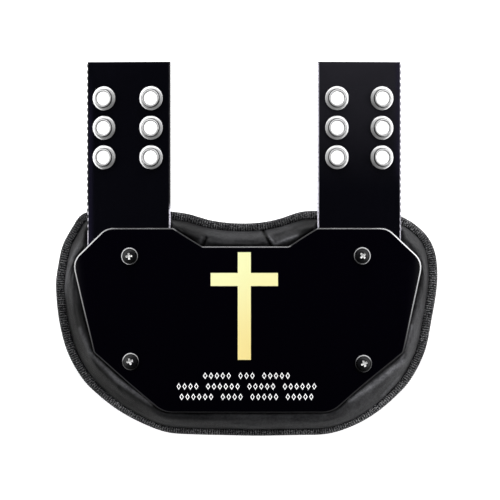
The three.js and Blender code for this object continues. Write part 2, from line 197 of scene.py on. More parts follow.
@dataclass(frozen=True)
class Plan:
    """Sizes that several pieces share, as seen from above."""

    pad_width: float = 0.2984
    pad_length: float = 0.1774
    pad_bottom: float = -0.145
    plate_bottom: float = -0.1275
    plate_top: float = 0.016
    plate_width: float = 0.273
    shoulder_width: float = 0.2192
    notch_width: float = 0.1124
    notch_floor_width: float = 0.067
    notch_depth: float = 0.0144
    side_corner_drop: float = 0.026
    lower_corner_width: float = 0.2412
    lower_corner_drop: float = 0.0971
    bottom_width: float = 0.1318
    strap_width: float = 0.0676
    strap_spacing: float = 0.1808
    strap_shift: float = -0.002
    strap_top: float = 0.1456
    strap_bottom: float = -0.1034
    screw_upper: float = -0.006
    screw_lower: float = -0.0884
    screw_hole: float = 0.0027
    cut_inset: float = 0.0075
    cut_middle: float = -0.004
    cut_low: float = -0.078
    cut_high: float = -0.05

    def plate_corners(self) -> list[Corner]:
        """Right half of the plate's outline, from the middle of its top to the middle of its bottom."""
        notch_floor = self.plate_top - self.notch_depth
        return [
            Corner(0, notch_floor),
            Corner(self.notch_floor_width / 2, notch_floor, 0.002),
            Corner(self.notch_width / 2, self.plate_top, 0.0047),
            Corner(self.shoulder_width / 2, self.plate_top, 0.014),
            Corner(self.plate_width / 2, self.plate_top - self.side_corner_drop, 0.014),
            Corner(self.lower_corner_width / 2, self.plate_top - self.lower_corner_drop, 0.0047),
            Corner(self.bottom_width / 2, self.plate_bottom, 0.0195),
            Corner(0, self.plate_bottom),
        ]

    def screw_angle(self, radius: float) -> float:
        """Angle of the screws about the axis of the layers, on the right-hand side."""
        return math.asin(self.strap_spacing / 2 / radius)

    def screw_y(self, level: Level) -> float:
        """Even place of a row of screws along y."""
        return self.screw_upper if level is Level.UPPER else self.screw_lower

    def strap_angle(self, side: Side, radius: float) -> float:
        """Angle of a strap's centre line about the axis of the layers."""
        return side.value * self.screw_angle(radius) + self.strap_shift / radius

    def strap_cut(self) -> list[Spot]:
        """Lower outer edge of a strap, cut back under the plate: distances from its centre line, and y."""
        half = self.strap_width / 2
        low = Spot(half - self.cut_inset, self.cut_low)
        return [Spot(self.cut_middle, self.strap_bottom), low, Spot(half, self.cut_high)]

    def strap_reach(self, y: float) -> float:
        """Half width of a strap towards its outer edge.

        Args:
            y: Height y along the strap.

        Returns:
            The distance from the strap's centre line to its outer edge.
        """
        cut = self.strap_cut()
        for low, high in zip(cut, cut[1:]):
            if y < high.y:
                return lerp(low.x, high.x, max(y - low.y, 0.0) / (high.y - low.y))
        return cut[-1].x


# Right half of the pad's edge, from the middle of its top to the middle of its bottom
PAD_EDGE = (
    EdgeRow(out=0, up=0.923),
    EdgeRow(out=0.179, up=0.94),
    EdgeRow(out=0.305, up=0.97),
    EdgeRow(out=0.4, up=0.981),
    EdgeRow(out=0.59, up=1),
    EdgeRow(out=0.842, up=0.962),
    EdgeRow(out=0.906, up=0.912),
    EdgeRow(out=0.968, up=0.826),
    EdgeRow(out=1, up=0.694),
    EdgeRow(out=0.974, up=0.5),
    EdgeRow(out=0.937, up=0.36),
    EdgeRow(out=0.853, up=0.237),
    EdgeRow(out=0.769, up=0.167),
    EdgeRow(out=0.661, up=0.096),
    EdgeRow(out=0.547, up=0.043),
    EdgeRow(out=0.421, up=0.008),
    EdgeRow(out=0.27, up=0),
    EdgeRow(out=0, up=0),
)

# Where the photographed plate and pad differ a little from their even outlines
PLATE_NUDGES = (
    Nudge(-0.045, 0.012, 0.022, -0.0012),
    Nudge(0.045, 0.012, 0.022, -0.0012),
    Nudge(0.137, -0.03, 0.045, 0.0015),
    Nudge(-0.137, -0.03, 0.045, 0.0006),
    Nudge(0.121, -0.081, 0.03, 0.0015),
    Nudge(-0.119, -0.081, 0.03, 0.0013),
    Nudge(0.066, -0.127, 0.025, 0.0008),
    Nudge(-0.066, -0.127, 0.025, 0.0008),
)
PAD_NUDGES = (
    Nudge(0.1, -0.125, 0.04, 0.001, -0.0012),
    Nudge(0.07, -0.145, 0.03, 0.0, -0.0006),
    Nudge(0.141, -0.07, 0.035, -0.0008, 0.0002),
    Nudge(0.126, 0.025, 0.012, -0.0014, -0.0022),
    Nudge(-0.126, 0.025, 0.012, -0.0013, 0.002),
    Nudge(-0.084, -0.136, 0.025, 0.0005, 0.0009),
    Nudge(0.006, -0.1445, 0.025, 0.0, -0.0009),
    Nudge(0.037, 0.028, 0.018, 0.0, 0.0026),
    Nudge(0.003, 0.02, 0.02, 0.0, 0.0009),
    Nudge(0.142, 0.000, 0.018, 0.0016),
    Nudge(-0.144, -0.055, 0.018, -0.0013),
    Nudge(-0.148, -0.012, 0.012, 0.001),
)

# How far each screw sits from its even place: along the curve, and along y
SCREW_OFFSETS = {
    (Side.LEFT, Level.UPPER): Spot(0.0006, 0.0),
    (Side.RIGHT, Level.UPPER): Spot(-0.0015, 0.0003),
    (Side.LEFT, Level.LOWER): Spot(0.0014, 0.0004),
    (Side.RIGHT, Level.LOWER): Spot(-0.0005, -0.0012),
}


def nudged(points: Points, nudges: Sequence[Nudge]) -> list[Vector]:
    """The points of an outline, moved by every nudge near them.

    Args:
        points: The outline's points.
        nudges: The soft pulls on them.

    Returns:
        The moved points.
    """
    found = []
    for point in points:
        moved = point.copy()
        for nudge in nudges:
            away = (point - Vector((nudge.x, nudge.y))).length / nudge.reach
            moved += Vector((nudge.dx, nudge.dy)) * math.exp(-away * away)
        found.append(moved)
    return found


def screw_place(layers: Layers, plan: Plan, side: Side, level: Level) -> Matrix:
    """Place of a screw on the plate's face.

    Args:
        layers: The curved layers.
        plan: The shared sizes.
        side: The screw's half of the part.
        level: The screw's row.

    Returns:
        The screw's place, with its axis along Z.
    """
    offset = SCREW_OFFSETS[side, level]
    angle = side.value * plan.screw_angle(layers.strap) + offset.x / layers.strap
    return layers.turned(angle, plan.screw_y(level) + offset.y, layers.plate)


def rounded(corners: Sequence[Corner], steps: int) -> list[Vector]:
    """Points along an outline whose corners are rounded.

    Args:
        corners: The outline's corners in order.
        steps: Parts that each rounded corner is made of.

    Returns:
        The outline's points.
    """
    points = []
    for i, corner in enumerate(corners):
        here = Vector((corner.x, corner.y))
        if not corner.radius:
            points.append(here)
            continue
        before = (Vector((corners[i - 1].x, corners[i - 1].y)) - here).normalized()
        after = (Vector((corners[i + 1].x, corners[i + 1].y)) - here).normalized()
        half_angle = before.angle(after) / 2
        reach = corner.radius / math.tan(half_angle)
        middle = here + (before + after).normalized() * corner.radius / math.sin(half_angle)
        first = here + before * reach - middle
        last = here + after * reach - middle
        turn = math.atan2(first.x * last.y - first.y * last.x, first.dot(last))
        for k in range(steps + 1):
            points.append(Matrix.Rotation(turn * k / steps, 2) @ first + middle)
    return points


def centripetal(points: Points, steps: int) -> list[Vector]:
    """A closed smooth curve through points, spaced by the square root of their distance.

    Args:
        points: The points that the curve passes through.
        steps: Parts between each two of them.

    Returns:
        Points along the curve.
    """
    found = []
    count = len(points)
    for i in range(count):
        before, start, end, after = (points[(i + k - 1) % count] for k in range(4))
        gaps = [math.sqrt((b - a).length) for a, b in ((before, start), (start, end), (end, after))]
        leave = (start - before) / gaps[0] - (end - before) / (gaps[0] + gaps[1]) + (end - start) / gaps[1]
        arrive = (end - start) / gaps[1] - (after - start) / (gaps[1] + gaps[2]) + (after - end) / gaps[2]
        leave, arrive = leave * gaps[1], arrive * gaps[1]
        for k in range(steps):
            t = k / steps
            square, cube = t * t, t * t * t
            found.append(
                start
                + leave * t
                + (end * 3 - start * 3 - leave * 2 - arrive) * square
                + (start * 2 - end * 2 + leave + arrive) * cube
            )
    return found


class Outline:
    """A symmetrical outline, known by its right half, with an upper and a lower edge."""

    def __init__(self, half: Points) -> None:
        """Splits the half outline at its widest point."""
        widest = max(range(len(half)), key=lambda i: half[i].x)
        self.tip = half[widest].x
        self.upper = list(half[: widest + 1])
        self.lower = list(half[widest:])[::-1]

    @staticmethod
    def _along(chain: Points, x: float) -> float:
        """Height y of a chain of points at x.

        Args:
            chain: The points, in order of x.
            x: Where the height is wanted.

        Returns:
            The height, which is that of the last point past its end.
        """
        for a, b in zip(chain, chain[1:]):
            if b.x >= x and b.x > a.x:
                return lerp(a.y, b.y, (x - a.x) / (b.x - a.x))
        return chain[-1].y

    def loop(self, stations: Sequence[float]) -> list[Vector]:
        """Closed loop, clockwise from above, from the left tip.

        Args:
            stations: Distances from the middle, from 0 to the tip, at which both edges have points.

        Returns:
            The loop's points, four fewer than four times the stations.
        """
        inner = list(stations[1:-1])
        across = [-x for x in reversed(inner)] + [stations[0]] + inner
        middle = (self._along(self.upper, self.tip) + self._along(self.lower, self.tip)) / 2
        points = [Vector((-self.tip, middle))]
        points += [Vector((x, self._along(self.upper, abs(x)))) for x in across]
        points += [Vector((self.tip, middle))]
        points += [Vector((x, self._along(self.lower, abs(x)))) for x in reversed(across)]
        return points

    def even_loop(self, count: int) -> list[Vector]:
        """Closed loop with evenly spaced points, clockwise from above, from the left tip."""
        right = self.upper + self.lower[::-1][1:]
        left = [Vector((-p.x, p.y)) for p in reversed(right[1:-1])]
        return respaced(right + left, count)


def respaced(loop: Points, count: int) -> list[Vector]:
    """A closed loop, with evenly spaced points.

    Args:
        loop: The loop's points.
        count: How many points are wanted.

    Returns:
        The new points, from the same first one.
    """
    closed = list(loop) + [loop[0]]
    reach = [0.0]
    for a, b in zip(closed, closed[1:]):
        reach.append(reach[-1] + (b - a).length)
    found, at = [], 0
    for k in range(count):
        wanted = reach[-1] * k / count
        while reach[at + 1] < wanted:
            at += 1
        share = (wanted - reach[at]) / max(reach[at + 1] - reach[at], 1e-12)
        found.append(closed[at].lerp(closed[at + 1], share))
    return found


def inward(loop: Points) -> list[Vector]:
    """Inward direction at each point of a clockwise loop, longer at corners so that edges stay parallel.

    Args:
        loop: The loop's points.

    Returns:
        One direction for each point.
    """
    found = []
    for i, point in enumerate(loop):
        back = (point - loop[i - 1]).normalized()
        on = (loop[(i + 1) % len(loop)] - point).normalized()
        along = (back + on).normalized()
        spread = 1 / max(along.dot(on), SHARPEST_CORNER)
        found.append(Vector((along.y * spread, -along.x * spread)))
    return found


def inset(loop: Points, distance: float) -> list[Vector]:
    """The loop moved inward by a distance."""
    return [point + side * distance for point, side in zip(loop, inward(loop))]


def plate_outline(plan: Plan, steps: int = 12) -> Outline:
    """Outline of the hard plate."""
    return Outline(rounded(plan.plate_corners(), steps))


def pad_outline(plan: Plan) -> Outline:
    """Outline of the pad's binding.

    Args:
        plan: The shared sizes.

    Returns:
        The outline, as a smooth curve through the rows of PAD_EDGE.
    """
    half_width, bottom = plan.pad_width / 2, plan.pad_bottom
    right = [Vector((row.out * half_width, bottom + row.up * plan.pad_length)) for row in PAD_EDGE]
    left = [Vector((-p.x, p.y)) for p in reversed(right[1:-1])]
    steps = 24
    half = centripetal(right + left, steps)[: (len(right) - 1) * steps + 1]
    return Outline([Vector((max(p.x, 0.0), p.y)) for p in half])


def stations_to(tip: float, steps: int) -> list[float]:
    """Distances from the middle out to the tip, closer together towards it."""
    return [tip * math.sin(k / steps * math.pi / 2) for k in range(steps + 1)]


def circle(sides: int) -> list[Spot]:
    """Points of a circle of radius 1, from +X on towards +Y."""
    turns = [2 * math.pi * k / sides for k in range(sides)]
    return [Spot(math.cos(t), math.sin(t)) for t in turns]


class Build:
    """A mesh in the making, with the few operations that the pieces share."""

    def __init__(self) -> None:
        """Starts empty."""
        self.mesh = bmesh.new()
        self.rings: list[list[Vert]] = []

    def ring(self, points: Points) -> list[Vert]:
        """Adds a ring of points and joins it to the ring before it.

        Args:
            points: The ring's points, as many as in every other ring.

        Returns:
            The new vertices.
        """
        verts = [self.mesh.verts.new(p) for p in points]
        if self.rings:
            self.join(self.rings[-1], verts)
        self.rings.append(verts)
        return verts

    def join(self, low: Sequence[Vert], high: Sequence[Vert]) -> None:
        """Faces between two rings of like points."""
        for k in range(len(low)):
            n = (k + 1) % len(low)
            self.mesh.faces.new((low[k], high[k], high[n], low[n]))

    def fan(self, ring: Sequence[Vert], centre: Vector, first: bool) -> None:
        """Closes a ring with triangles to a middle point; first where it is the first ring."""
        middle = self.mesh.verts.new(centre)
        for k in range(len(ring)):
            n = (k + 1) % len(ring)
            self.mesh.faces.new((ring[k], ring[n], middle) if first else (ring[n], ring[k], middle))

    def strips(self, ring: Sequence[Vert], rows: int, height: Height, first: bool) -> None:
        """Closes a ring from an outline's loop with strips across it.

        Args:
            ring: The ring, whose upper and lower edge have points at the same x.
            rows: Parts of each strip.
            height: Height of the closing surface at x and y.
            first: True where the ring is the first one, so that the surface faces the other way.
        """
        count = len(ring)
        half = count // 2
        columns = [[ring[0]]]
        for k in range(1, half):
            top, bottom = ring[k].co.copy(), ring[count - k].co.copy()
            between = []
            for row in range(1, rows):
                p = top.lerp(bottom, row / rows)
                between.append(self.mesh.verts.new((p.x, p.y, height(p.x, p.y))))
            columns.append([ring[k], *between, ring[count - k]])
        columns.append([ring[half]])
        for a, b in zip(columns, columns[1:]):
            for row in range(rows):
                corners = [a[min(row, len(a) - 1)], b[min(row, len(b) - 1)]]
                corners += [b[min(row + 1, len(b) - 1)], a[min(row + 1, len(a) - 1)]]
                face = list(dict.fromkeys(corners))
                if len(face) > 2:
                    self.mesh.faces.new(face if first else face[::-1])

    def done(self, name: str, sharp: float = 35.0) -> Piece:
        """Makes the object.

        Args:
            name: The piece's name.
            sharp: Degrees between faces past which an edge stays crisp.

        Returns:
            The new object, facing outwards.
        """
        bmesh.ops.remove_doubles(self.mesh, verts=self.mesh.verts, dist=MERGE)
        bmesh.ops.recalc_face_normals(self.mesh, faces=self.mesh.faces)
        crisp(self.mesh, sharp)
        data = bpy.data.meshes.new(name)
        self.mesh.to_mesh(data)
        self.mesh.free()
        return placed(name, data)


def crisp(mesh: bmesh.types.BMesh, degrees: float) -> None:
    """Shades a mesh smooth, apart from its sharp edges.

    Args:
        mesh: The mesh.
        degrees: Angle between faces past which an edge stays crisp.
    """
    limit = math.radians(degrees)
    for face in mesh.faces:
        face.smooth = True
    for edge in mesh.edges:
        edge.smooth = len(edge.link_faces) == 2 and edge.calc_face_angle(0.0) < limit


def resharpened(obj: Piece, degrees: float) -> None:
    """Marks the crisp edges of an object anew, after it was cut.

    Args:
        obj: The object.
        degrees: Angle between faces past which an edge stays crisp.
    """
    mesh = bmesh.new()
    mesh.from_mesh(obj.data)
    crisp(mesh, degrees)
    mesh.to_mesh(obj.data)
    mesh.free()


def placed(name: str, data: bpy.types.ID) -> Piece:
    """Makes an object of some data and links it to the scene.

    Args:
        name: The object's name.
        data: Its mesh, curve, light or camera.

    Returns:
        The new object.
    """
    obj = bpy.data.objects.new(name, data)
    bpy.context.scene.collection.objects.link(obj)
    return obj


def dropped(obj: Piece) -> None:
    """Removes a helper object."""
    bpy.data.objects.remove(obj)


def evaluated_mesh(obj: Piece) -> bpy.types.Mesh:
    """A plain copy of an object's mesh with its modifiers applied."""
    bpy.context.view_layer.update()
    graph = bpy.context.evaluated_depsgraph_get()
    return bpy.data.meshes.new_from_object(obj.evaluated_get(graph), depsgraph=graph)


def applied(obj: Piece) -> Piece:
    """Turns an object with modifiers into a plain mesh."""
    data = evaluated_mesh(obj)
    obj.modifiers.clear()
    obj.data = data
    return obj


def cut_out(obj: Piece, cutter: Piece) -> None:
    """Takes a cutter's shape out of an object, and removes the cutter.

    Args:
        obj: The object that is cut.
        cutter: A closed shape in the place of the hole.
    """
    cut = obj.modifiers.new("cut", "BOOLEAN")
    cut.operation, cut.solver, cut.object = "DIFFERENCE", "EXACT", cutter
    applied(obj)
    dropped(cutter)


def lathe(profile: Sequence[tuple[float, float]], sides: int, name: str, sharp: float) -> Piece:
    """A closed body of revolution about Z.

    Args:
        profile: Radius and height of each point of its closed section, in millimetres.
        sides: Facets round it.
        name: The piece's name.
        sharp: Degrees past which an edge stays crisp.

    Returns:
        The new object.
    """
    build = Build()
    rows = []
    for radius, height in profile:
        points = [Vector((radius * p.x, radius * p.y, height)) * MM for p in circle(sides)]
        rows.append([build.mesh.verts.new(p) for p in points[: sides if radius > 0 else 1]])
    closed = profile[0][0] > 0 or profile[-1][0] > 0
    pairs = list(zip(rows, rows[1:] + rows[:1])) if closed else list(zip(rows, rows[1:]))
    for a, b in pairs:
        for k in range(sides):
            n = (k + 1) % sides
            corners = [a[k % len(a)], a[n % len(a)], b[n % len(b)], b[k % len(b)]]
            face = list(dict.fromkeys(corners))
            if len(face) > 2:
                build.mesh.faces.new(face)
    return build.done(name, sharp)


def rod(
    name: str, path: Sequence[tuple[Vector, float]], across: Vector, sides: int, sharp: float
) -> Piece:
    """A short round rod in an upright plane, closed by a cone at both ends.

    Args:
        name: The object's name.
        path: The first tip, each ring's middle and radius, and the last tip.
        across: Direction across the plane of the path.
        sides: Facets round it.
        sharp: Degrees past which an edge stays crisp.

    Returns:
        The new object.
    """
    build = Build()
    up = Vector((0, 0, 1))
    for middle, radius in path[1:-1]:
        build.ring([middle + across * (radius * p.x) + up * (radius * p.y) for p in circle(sides)])
    build.fan(build.rings[0], path[0][0], True)
    build.fan(build.rings[-1], path[-1][0], False)
    return build.done(name, sharp)


def arc(centre: Spot, radius: float, start: float, end: float, steps: int) -> list[tuple[float, float]]:
    """Points of an arc in a section, from one angle in degrees to another."""
    turns = [math.radians(lerp(start, end, k / steps)) for k in range(steps + 1)]
    return [(centre.x + radius * math.cos(t), centre.y + radius * math.sin(t)) for t in turns]


class Value:
    """A socket with arithmetic, so that a pattern reads as a formula."""

    def __init__(self, pattern: "Pattern", socket: bpy.types.NodeSocket) -> None:
        """Holds the socket and the pattern that it belongs to."""
        self.pattern = pattern
        self.socket = socket

    def _math(self, operation: str, *others: "Value | float") -> "Value":
        """Result of a maths node fed by this value and the others.

        Args:
            operation: The node's operation.
            others: What its further sockets take.

        Returns:
            The node's result.
        """
        node = self.pattern.tree.nodes.new("ShaderNodeMath")
        node.operation = operation
        for place, item in zip(node.inputs, (self, *others)):
            self.pattern.feed(place, item)
        return Value(self.pattern, node.outputs[0])

    def __add__(self, other: "Value | float") -> "Value":
        """Sum."""
        return self._math("ADD", other)

    def __radd__(self, other: float) -> "Value":
        """Sum, with the number first."""
        return self._math("ADD", other)

    def __sub__(self, other: "Value | float") -> "Value":
        """Difference."""
        return self._math("SUBTRACT", other)

    def __rsub__(self, other: float) -> "Value":
        """Difference, with the number first."""
        return (self * -1) + other

    def __mul__(self, other: "Value | float") -> "Value":
        """Product."""
        return self._math("MULTIPLY", other)

    def __rmul__(self, other: float) -> "Value":
        """Product, with the number first."""
        return self._math("MULTIPLY", other)

    def __neg__(self) -> "Value":
        """Opposite."""
        return self * -1

    def __abs__(self) -> "Value":
        """Size without sign."""
        return self._math("ABSOLUTE")

    def sine(self) -> "Value":
        """Sine."""
        return self._math("SINE")

    def least(self, other: "Value | float") -> "Value":
        """The smaller of two."""
        return self._math("MINIMUM", other)

    def most(self, other: "Value | float") -> "Value":
        """The larger of two."""
        return self._math("MAXIMUM", other)

    def eased(self, low: float, high: float, start: float = 0.0, end: float = 1.0) -> "Value":
        """Eases from start to end while the value goes from low to high."""
        inputs = {"Value": self, "From Min": low, "From Max": high, "To Min": start, "To Max": end}
        return self.pattern.node("ShaderNodeMapRange", "Result", inputs, interpolation_type="SMOOTHSTEP")


class Pattern:
    """A node tree whose values are written as formulas."""

    def __init__(self, tree: bpy.types.NodeTree) -> None:
        """Holds the tree."""
        self.tree = tree

    def feed(self, place: bpy.types.NodeSocket, item: object) -> None:
        """Links a value to a socket, or sets the socket to a constant."""
        if isinstance(item, Value):
            self.tree.links.new(item.socket, place)
        else:
            place.default_value = item

    def node(self, kind: str, output: str, inputs: Optional[dict] = None, **settings: object) -> Value:
        """Adds any node.

        Args:
            kind: The node's type.
            output: Name of the output wanted.
            inputs: Constants and values by socket name.
            settings: The node's own options.

        Returns:
            The wanted output.
        """
        made = self.tree.nodes.new(kind)
        for key, option in settings.items():
            setattr(made, key, option)
        for key, item in (inputs or {}).items():
            self.feed(next(s for s in made.inputs if s.name == key and s.enabled), item)
        return Value(self, next(s for s in made.outputs if s.name == output and s.enabled))

    def axes(self, vector: Value) -> tuple[Value, Value, Value]:
        """The three parts of a vector."""
        made = self.tree.nodes.new("ShaderNodeSeparateXYZ")
        self.feed(made.inputs[0], vector)
        return tuple(Value(self, socket) for socket in made.outputs)


class Paint(Pattern):
    """The node tree of one finish."""

    def __init__(self, name: str) -> None:
        """Makes the material with its principled shader."""
        self.material = bpy.data.materials.new(name)
        self.material.use_nodes = True
        super().__init__(self.material.node_tree)
        self.shader = self.tree.nodes["Principled BSDF"]

    def set(self, **inputs: object) -> None:
        """Sets or links sockets of the principled shader, named with underscores for spaces."""
        for key, item in inputs.items():
            self.feed(self.shader.inputs[key.replace("_", " ")], item)

    def place(self, scale: Sequence[float] = (1, 1, 1), turn: float = 0.0) -> Value:
        """Object coordinates.

        Args:
            scale: How much finer the pattern gets along each axis.
            turn: Its turn about Z, in radians.

        Returns:
            The scaled and turned coordinates.
        """
        coordinates = self.node("ShaderNodeTexCoord", "Object")
        if tuple(scale) == (1, 1, 1) and turn == 0:
            return coordinates
        inputs = {"Vector": coordinates, "Scale": tuple(scale), "Rotation": (0, 0, turn)}
        return self.node("ShaderNodeMapping", "Vector", inputs)

    def speckle(self, where: Value, scale: float, detail: float = 2.0, roughness: float = 0.5) -> Value:
        """Smooth noise from 0 to 1."""
        inputs = {"Vector": where, "Scale": scale, "Detail": detail, "Roughness": roughness}
        return self.node("ShaderNodeTexNoise", "Fac", inputs)

    def attribute(self, name: str) -> Value:
        """A number stored on the mesh."""
        return self.node("ShaderNodeAttribute", "Fac", attribute_name=name)

    def colours(self, share: Value, low: Sequence[float], high: Sequence[float]) -> Value:
        """Colour between two."""
        return self.mixed(share, (*low, 1), (*high, 1))

    def mixed(self, share: Value, low: object, high: object) -> Value:
        """Colour between two, either of which may itself be a value."""
        inputs = {"Factor": share, "A": low, "B": high}
        return self.node("ShaderNodeMix", "Result", inputs, data_type="RGBA")

    def scaled(self, colour: Value, share: Value) -> Value:
        """Colour made darker or lighter.

        Args:
            colour: The colour.
            share: What it is multiplied by.

        Returns:
            The new colour.
        """
        made = self.tree.nodes.new("ShaderNodeVectorMath")
        made.operation = "SCALE"
        self.feed(made.inputs["Vector"], colour)
        self.feed(made.inputs["Scale"], share)
        return Value(self, made.outputs["Vector"])

    def relief(self, height: Value, depth: float, strength: float = 1.0) -> Value:
        """Normal of a surface with that relief, depth in metres."""
        inputs = {"Height": height, "Distance": depth, "Strength": strength}
        return self.node("ShaderNodeBump", "Normal", inputs)


@dataclass(frozen=True)
class GlossPlate:
    """Deep black polished plastic, with hairlines so fine that only a close look shows them."""

    base: tuple = (0.0006, 0.0004, 0.0016)
    polished: float = 0.045
    hazy: float = 0.075
    brushing: tuple = (9, 60, 9)
    brushing_turn: float = 0.3

    def material(self) -> Finish:
        """Builds the finish."""
        paint = Paint("gloss_plate")
        haze_and_painted_reflection = paint.speckle(paint.place(self.brushing, self.brushing_turn), 22, 3)
        paint.set(Base_Color=(*self.base, 1), IOR=1.47, Specular_IOR_Level=0.42)
        paint.set(Roughness=haze_and_painted_reflection.eased(0.35, 0.75, self.polished, self.hazy))
        return paint.material


@dataclass(frozen=True)
class PolishedEdgePaintedHighlight:
    """The cut bevel of the plate, a little rougher than its face, with a painted highlight along it."""

    # low and high are the bevel's colours without and with its painted highlight
    low: tuple = (0.004, 0.004, 0.005)
    high: tuple = (0.66, 0.66, 0.67)
    # Painted highlight: from and to which distance from the middle the top edge brightens, and its share
    # before that
    bright_from: float = 0.095
    bright_to: float = 0.125
    middle_share: float = 0.28
    # Painted highlight: brightness of the left and the right end of the plate
    half_width: float = 0.12
    left_share: float = 0.75
    right_share: float = 1.2
    # Middle of the notch's slopes, half their width, the blend at their ends and their brightness in the
    # painted highlight
    slope_x: float = 0.0447
    slope_half: float = 0.009
    slope_blend: float = 0.0025
    slope_share: float = 0.2
    # Painted highlight: heights y between which the sides brighten, dull at first and then in full
    dull_y: tuple = (-0.085, -0.002)
    full_y: tuple = (-0.03, -0.004)
    side_share: float = 0.6

    def material(self) -> Finish:
        """Builds the finish, a painted highlight bright by the straps and dull on the notch's slopes, with
        the cutter's lines.
        """
        paint = Paint("polished_edge")
        lines = paint.speckle(paint.place((1, 1, 6)), 900, 1)
        x, y, _ = paint.axes(paint.place())
        out = abs(x).eased(self.bright_from, self.bright_to, self.middle_share, 1.0)
        ends = x.eased(-self.half_width, self.half_width, self.left_share, self.right_share)
        past_slope = abs(abs(x) - self.slope_x)
        notch = past_slope.eased(self.slope_half, self.slope_half + self.slope_blend, self.slope_share, 1.0)
        side = y.eased(*self.dull_y) * y.eased(*self.full_y, self.side_share, 1.0)
        # The painted highlight by place, broken by the cutter's lines.
        share = out * ends * notch * side * lines.eased(0.3, 0.6, 0.75, 1.0)
        paint.set(Base_Color=paint.colours(share, self.low, self.high), Metallic=0.85)
        paint.set(Roughness=lines.eased(0.3, 0.7, 0.12, 0.3))
        return paint.material


@dataclass(frozen=True)
class CrossPrint:
    """Pale yellow print, greener at its top and warmer towards its foot."""

    top: tuple = (0.76, 0.785, 0.437)
    foot: tuple = (0.746, 0.596, 0.227)
    top_y: float = -0.0029
    foot_y: float = -0.0866
    half_span: float = 0.026
    down_share: float = 0.75

    def material(self) -> Finish:
        """Builds the finish."""
        paint = Paint("cross_print")
        x, y, _ = paint.axes(paint.place())
        down = (-y).eased(-self.top_y, -self.foot_y) * self.down_share
        across = x.eased(-self.half_span, self.half_span) * (1 - self.down_share)
        colour = paint.colours((down + across).least(1.0), self.top, self.foot)
        # The print glows a little in its own colour: painted light.
        paint.set(Base_Color=colour, Roughness=0.38, Emission_Color=colour, Emission_Strength=0.28)
        return paint.material


@dataclass(frozen=True)
class Plain:
    """An even finish, which glows white a little where it has a glow."""

    name: str
    base: tuple
    roughness: float = 0.5
    specular: float = 0.5
    glow: float = 0.0

    def material(self) -> Finish:
        """Builds the finish."""
        paint = Paint(self.name)
        paint.set(Base_Color=(*self.base, 1), Roughness=self.roughness, Specular_IOR_Level=self.specular)
        paint.set(Emission_Color=(1, 1, 1, 1), Emission_Strength=self.glow)
        return paint.material


@dataclass(frozen=True)
class StrapCoat:
    """Black coated strap with faint lengthwise brushing, and a painted reflection that fades down from its
    top end.
    """

    base: tuple = (0.0018, 0.0018, 0.0032)
    # Colour of the painted reflection at the top end, like the base where there is none
    haze_and_painted_reflection: tuple = (0.0018, 0.0018, 0.0032)
    # Heights y between which the painted reflection grows
    painted_reflection_y: tuple = (0.04, 0.135)
    # A lilac band beside the outer edge: its colour, its inner edge and half blend, heights y and strength
    rim: tuple = (0.011, 0.0095, 0.021)
    rim_x: float = 0.1203
    rim_blend: float = 0.002
    rim_y: tuple = (0.14, 0.09)
    rim_share: float = 0.55
    name: str = "strap_coat"

    def material(self) -> Finish:
        """Builds the finish."""
        paint = Paint(self.name)
        streaks = paint.speckle(paint.place((30, 1.4, 30)), 26, 3)
        x, y, _ = paint.axes(paint.place())
        # The coat lightens towards the top end with the painted reflection.
        coat = paint.colours(y.eased(*self.painted_reflection_y), self.base, self.haze_and_painted_reflection)
        rim = abs(x).eased(self.rim_x - self.rim_blend, self.rim_x + self.rim_blend) * y.eased(*self.rim_y)
        paint.set(Base_Color=paint.mixed(rim * self.rim_share, coat, (*self.rim, 1)))
        paint.set(Roughness=streaks.eased(0.3, 0.75, 0.1, 0.17))
        paint.set(Normal=paint.relief(streaks, 0.00002, 0.35), IOR=1.5)
        return paint.material


@dataclass(frozen=True)
class CutEdge:
    """Cut edge of a strap, painted pale as a highlight on its lit side wall."""

    base: tuple = (0.6, 0.58, 0.66)
    ragged_share: float = 0.45
    # Height y from which the edge has painted shade, how soon it gets so and its brightness there
    dark_from: float = 1.0
    dark_blend: float = 0.006
    dark_share: float = 0.04
    name: str = "cut_edge"

    def material(self) -> Finish:
        """Builds the finish, a little ragged, with painted shade from a height y upwards."""
        paint = Paint(self.name)
        ragged = paint.speckle(paint.place(), 700, 2)
        dark = tuple(part * self.ragged_share for part in self.base)
        _, y, _ = paint.axes(paint.place())
        # Painted shade from the height dark_from upwards.
        painted_light = y.eased(self.dark_from, self.dark_from + self.dark_blend, 1.0, self.dark_share)
        colour = paint.scaled(paint.colours(ragged.eased(0.35, 0.55), dark, self.base), painted_light)
        paint.set(Base_Color=colour, Roughness=0.5)
        return paint.material


@dataclass(frozen=True)
class Chrome:
    """Bright plating."""

    base: tuple = (0.88, 0.88, 0.885)
    metal: float = 0.58

    def material(self) -> Finish:
        """Builds the finish."""
        paint = Paint("bright_plating")
        wear = paint.speckle(paint.place(), 420, 2)
        paint.set(Base_Color=(*self.base, 1), Metallic=self.metal, Roughness=wear.eased(0.4, 0.8, 0.08, 0.14))
        return paint.material


@dataclass(frozen=True)
class BareSteel:
    """Metal laid bare in the recess and on the rim of a screw."""

    base: tuple = (0.62, 0.62, 0.63)
    name: str = "bare_steel"
    roughness: float = 0.3
    metal: float = 1.0
    # Height y below which it has painted shade, the blend above that and its brightness there
    shade_below: float = -1.0
    shade_blend: float = 0.004
    shade_share: float = 0.15

    def material(self) -> Finish:
        """Builds the finish, with painted shade below a height y."""
        paint = Paint(self.name)
        grain = paint.speckle(paint.place(), 1500, 2)
        _, y, _ = paint.axes(paint.place())
        # Painted shade below a given height y.
        share = y.eased(self.shade_below, self.shade_below + self.shade_blend)
        dull = tuple(part * self.shade_share for part in self.base)
        paint.set(Base_Color=paint.colours(share, dull, self.base), Metallic=self.metal)
        paint.set(Roughness=grain.eased(0.3, 0.7, self.roughness - 0.08, self.roughness + 0.1))
        return paint.material


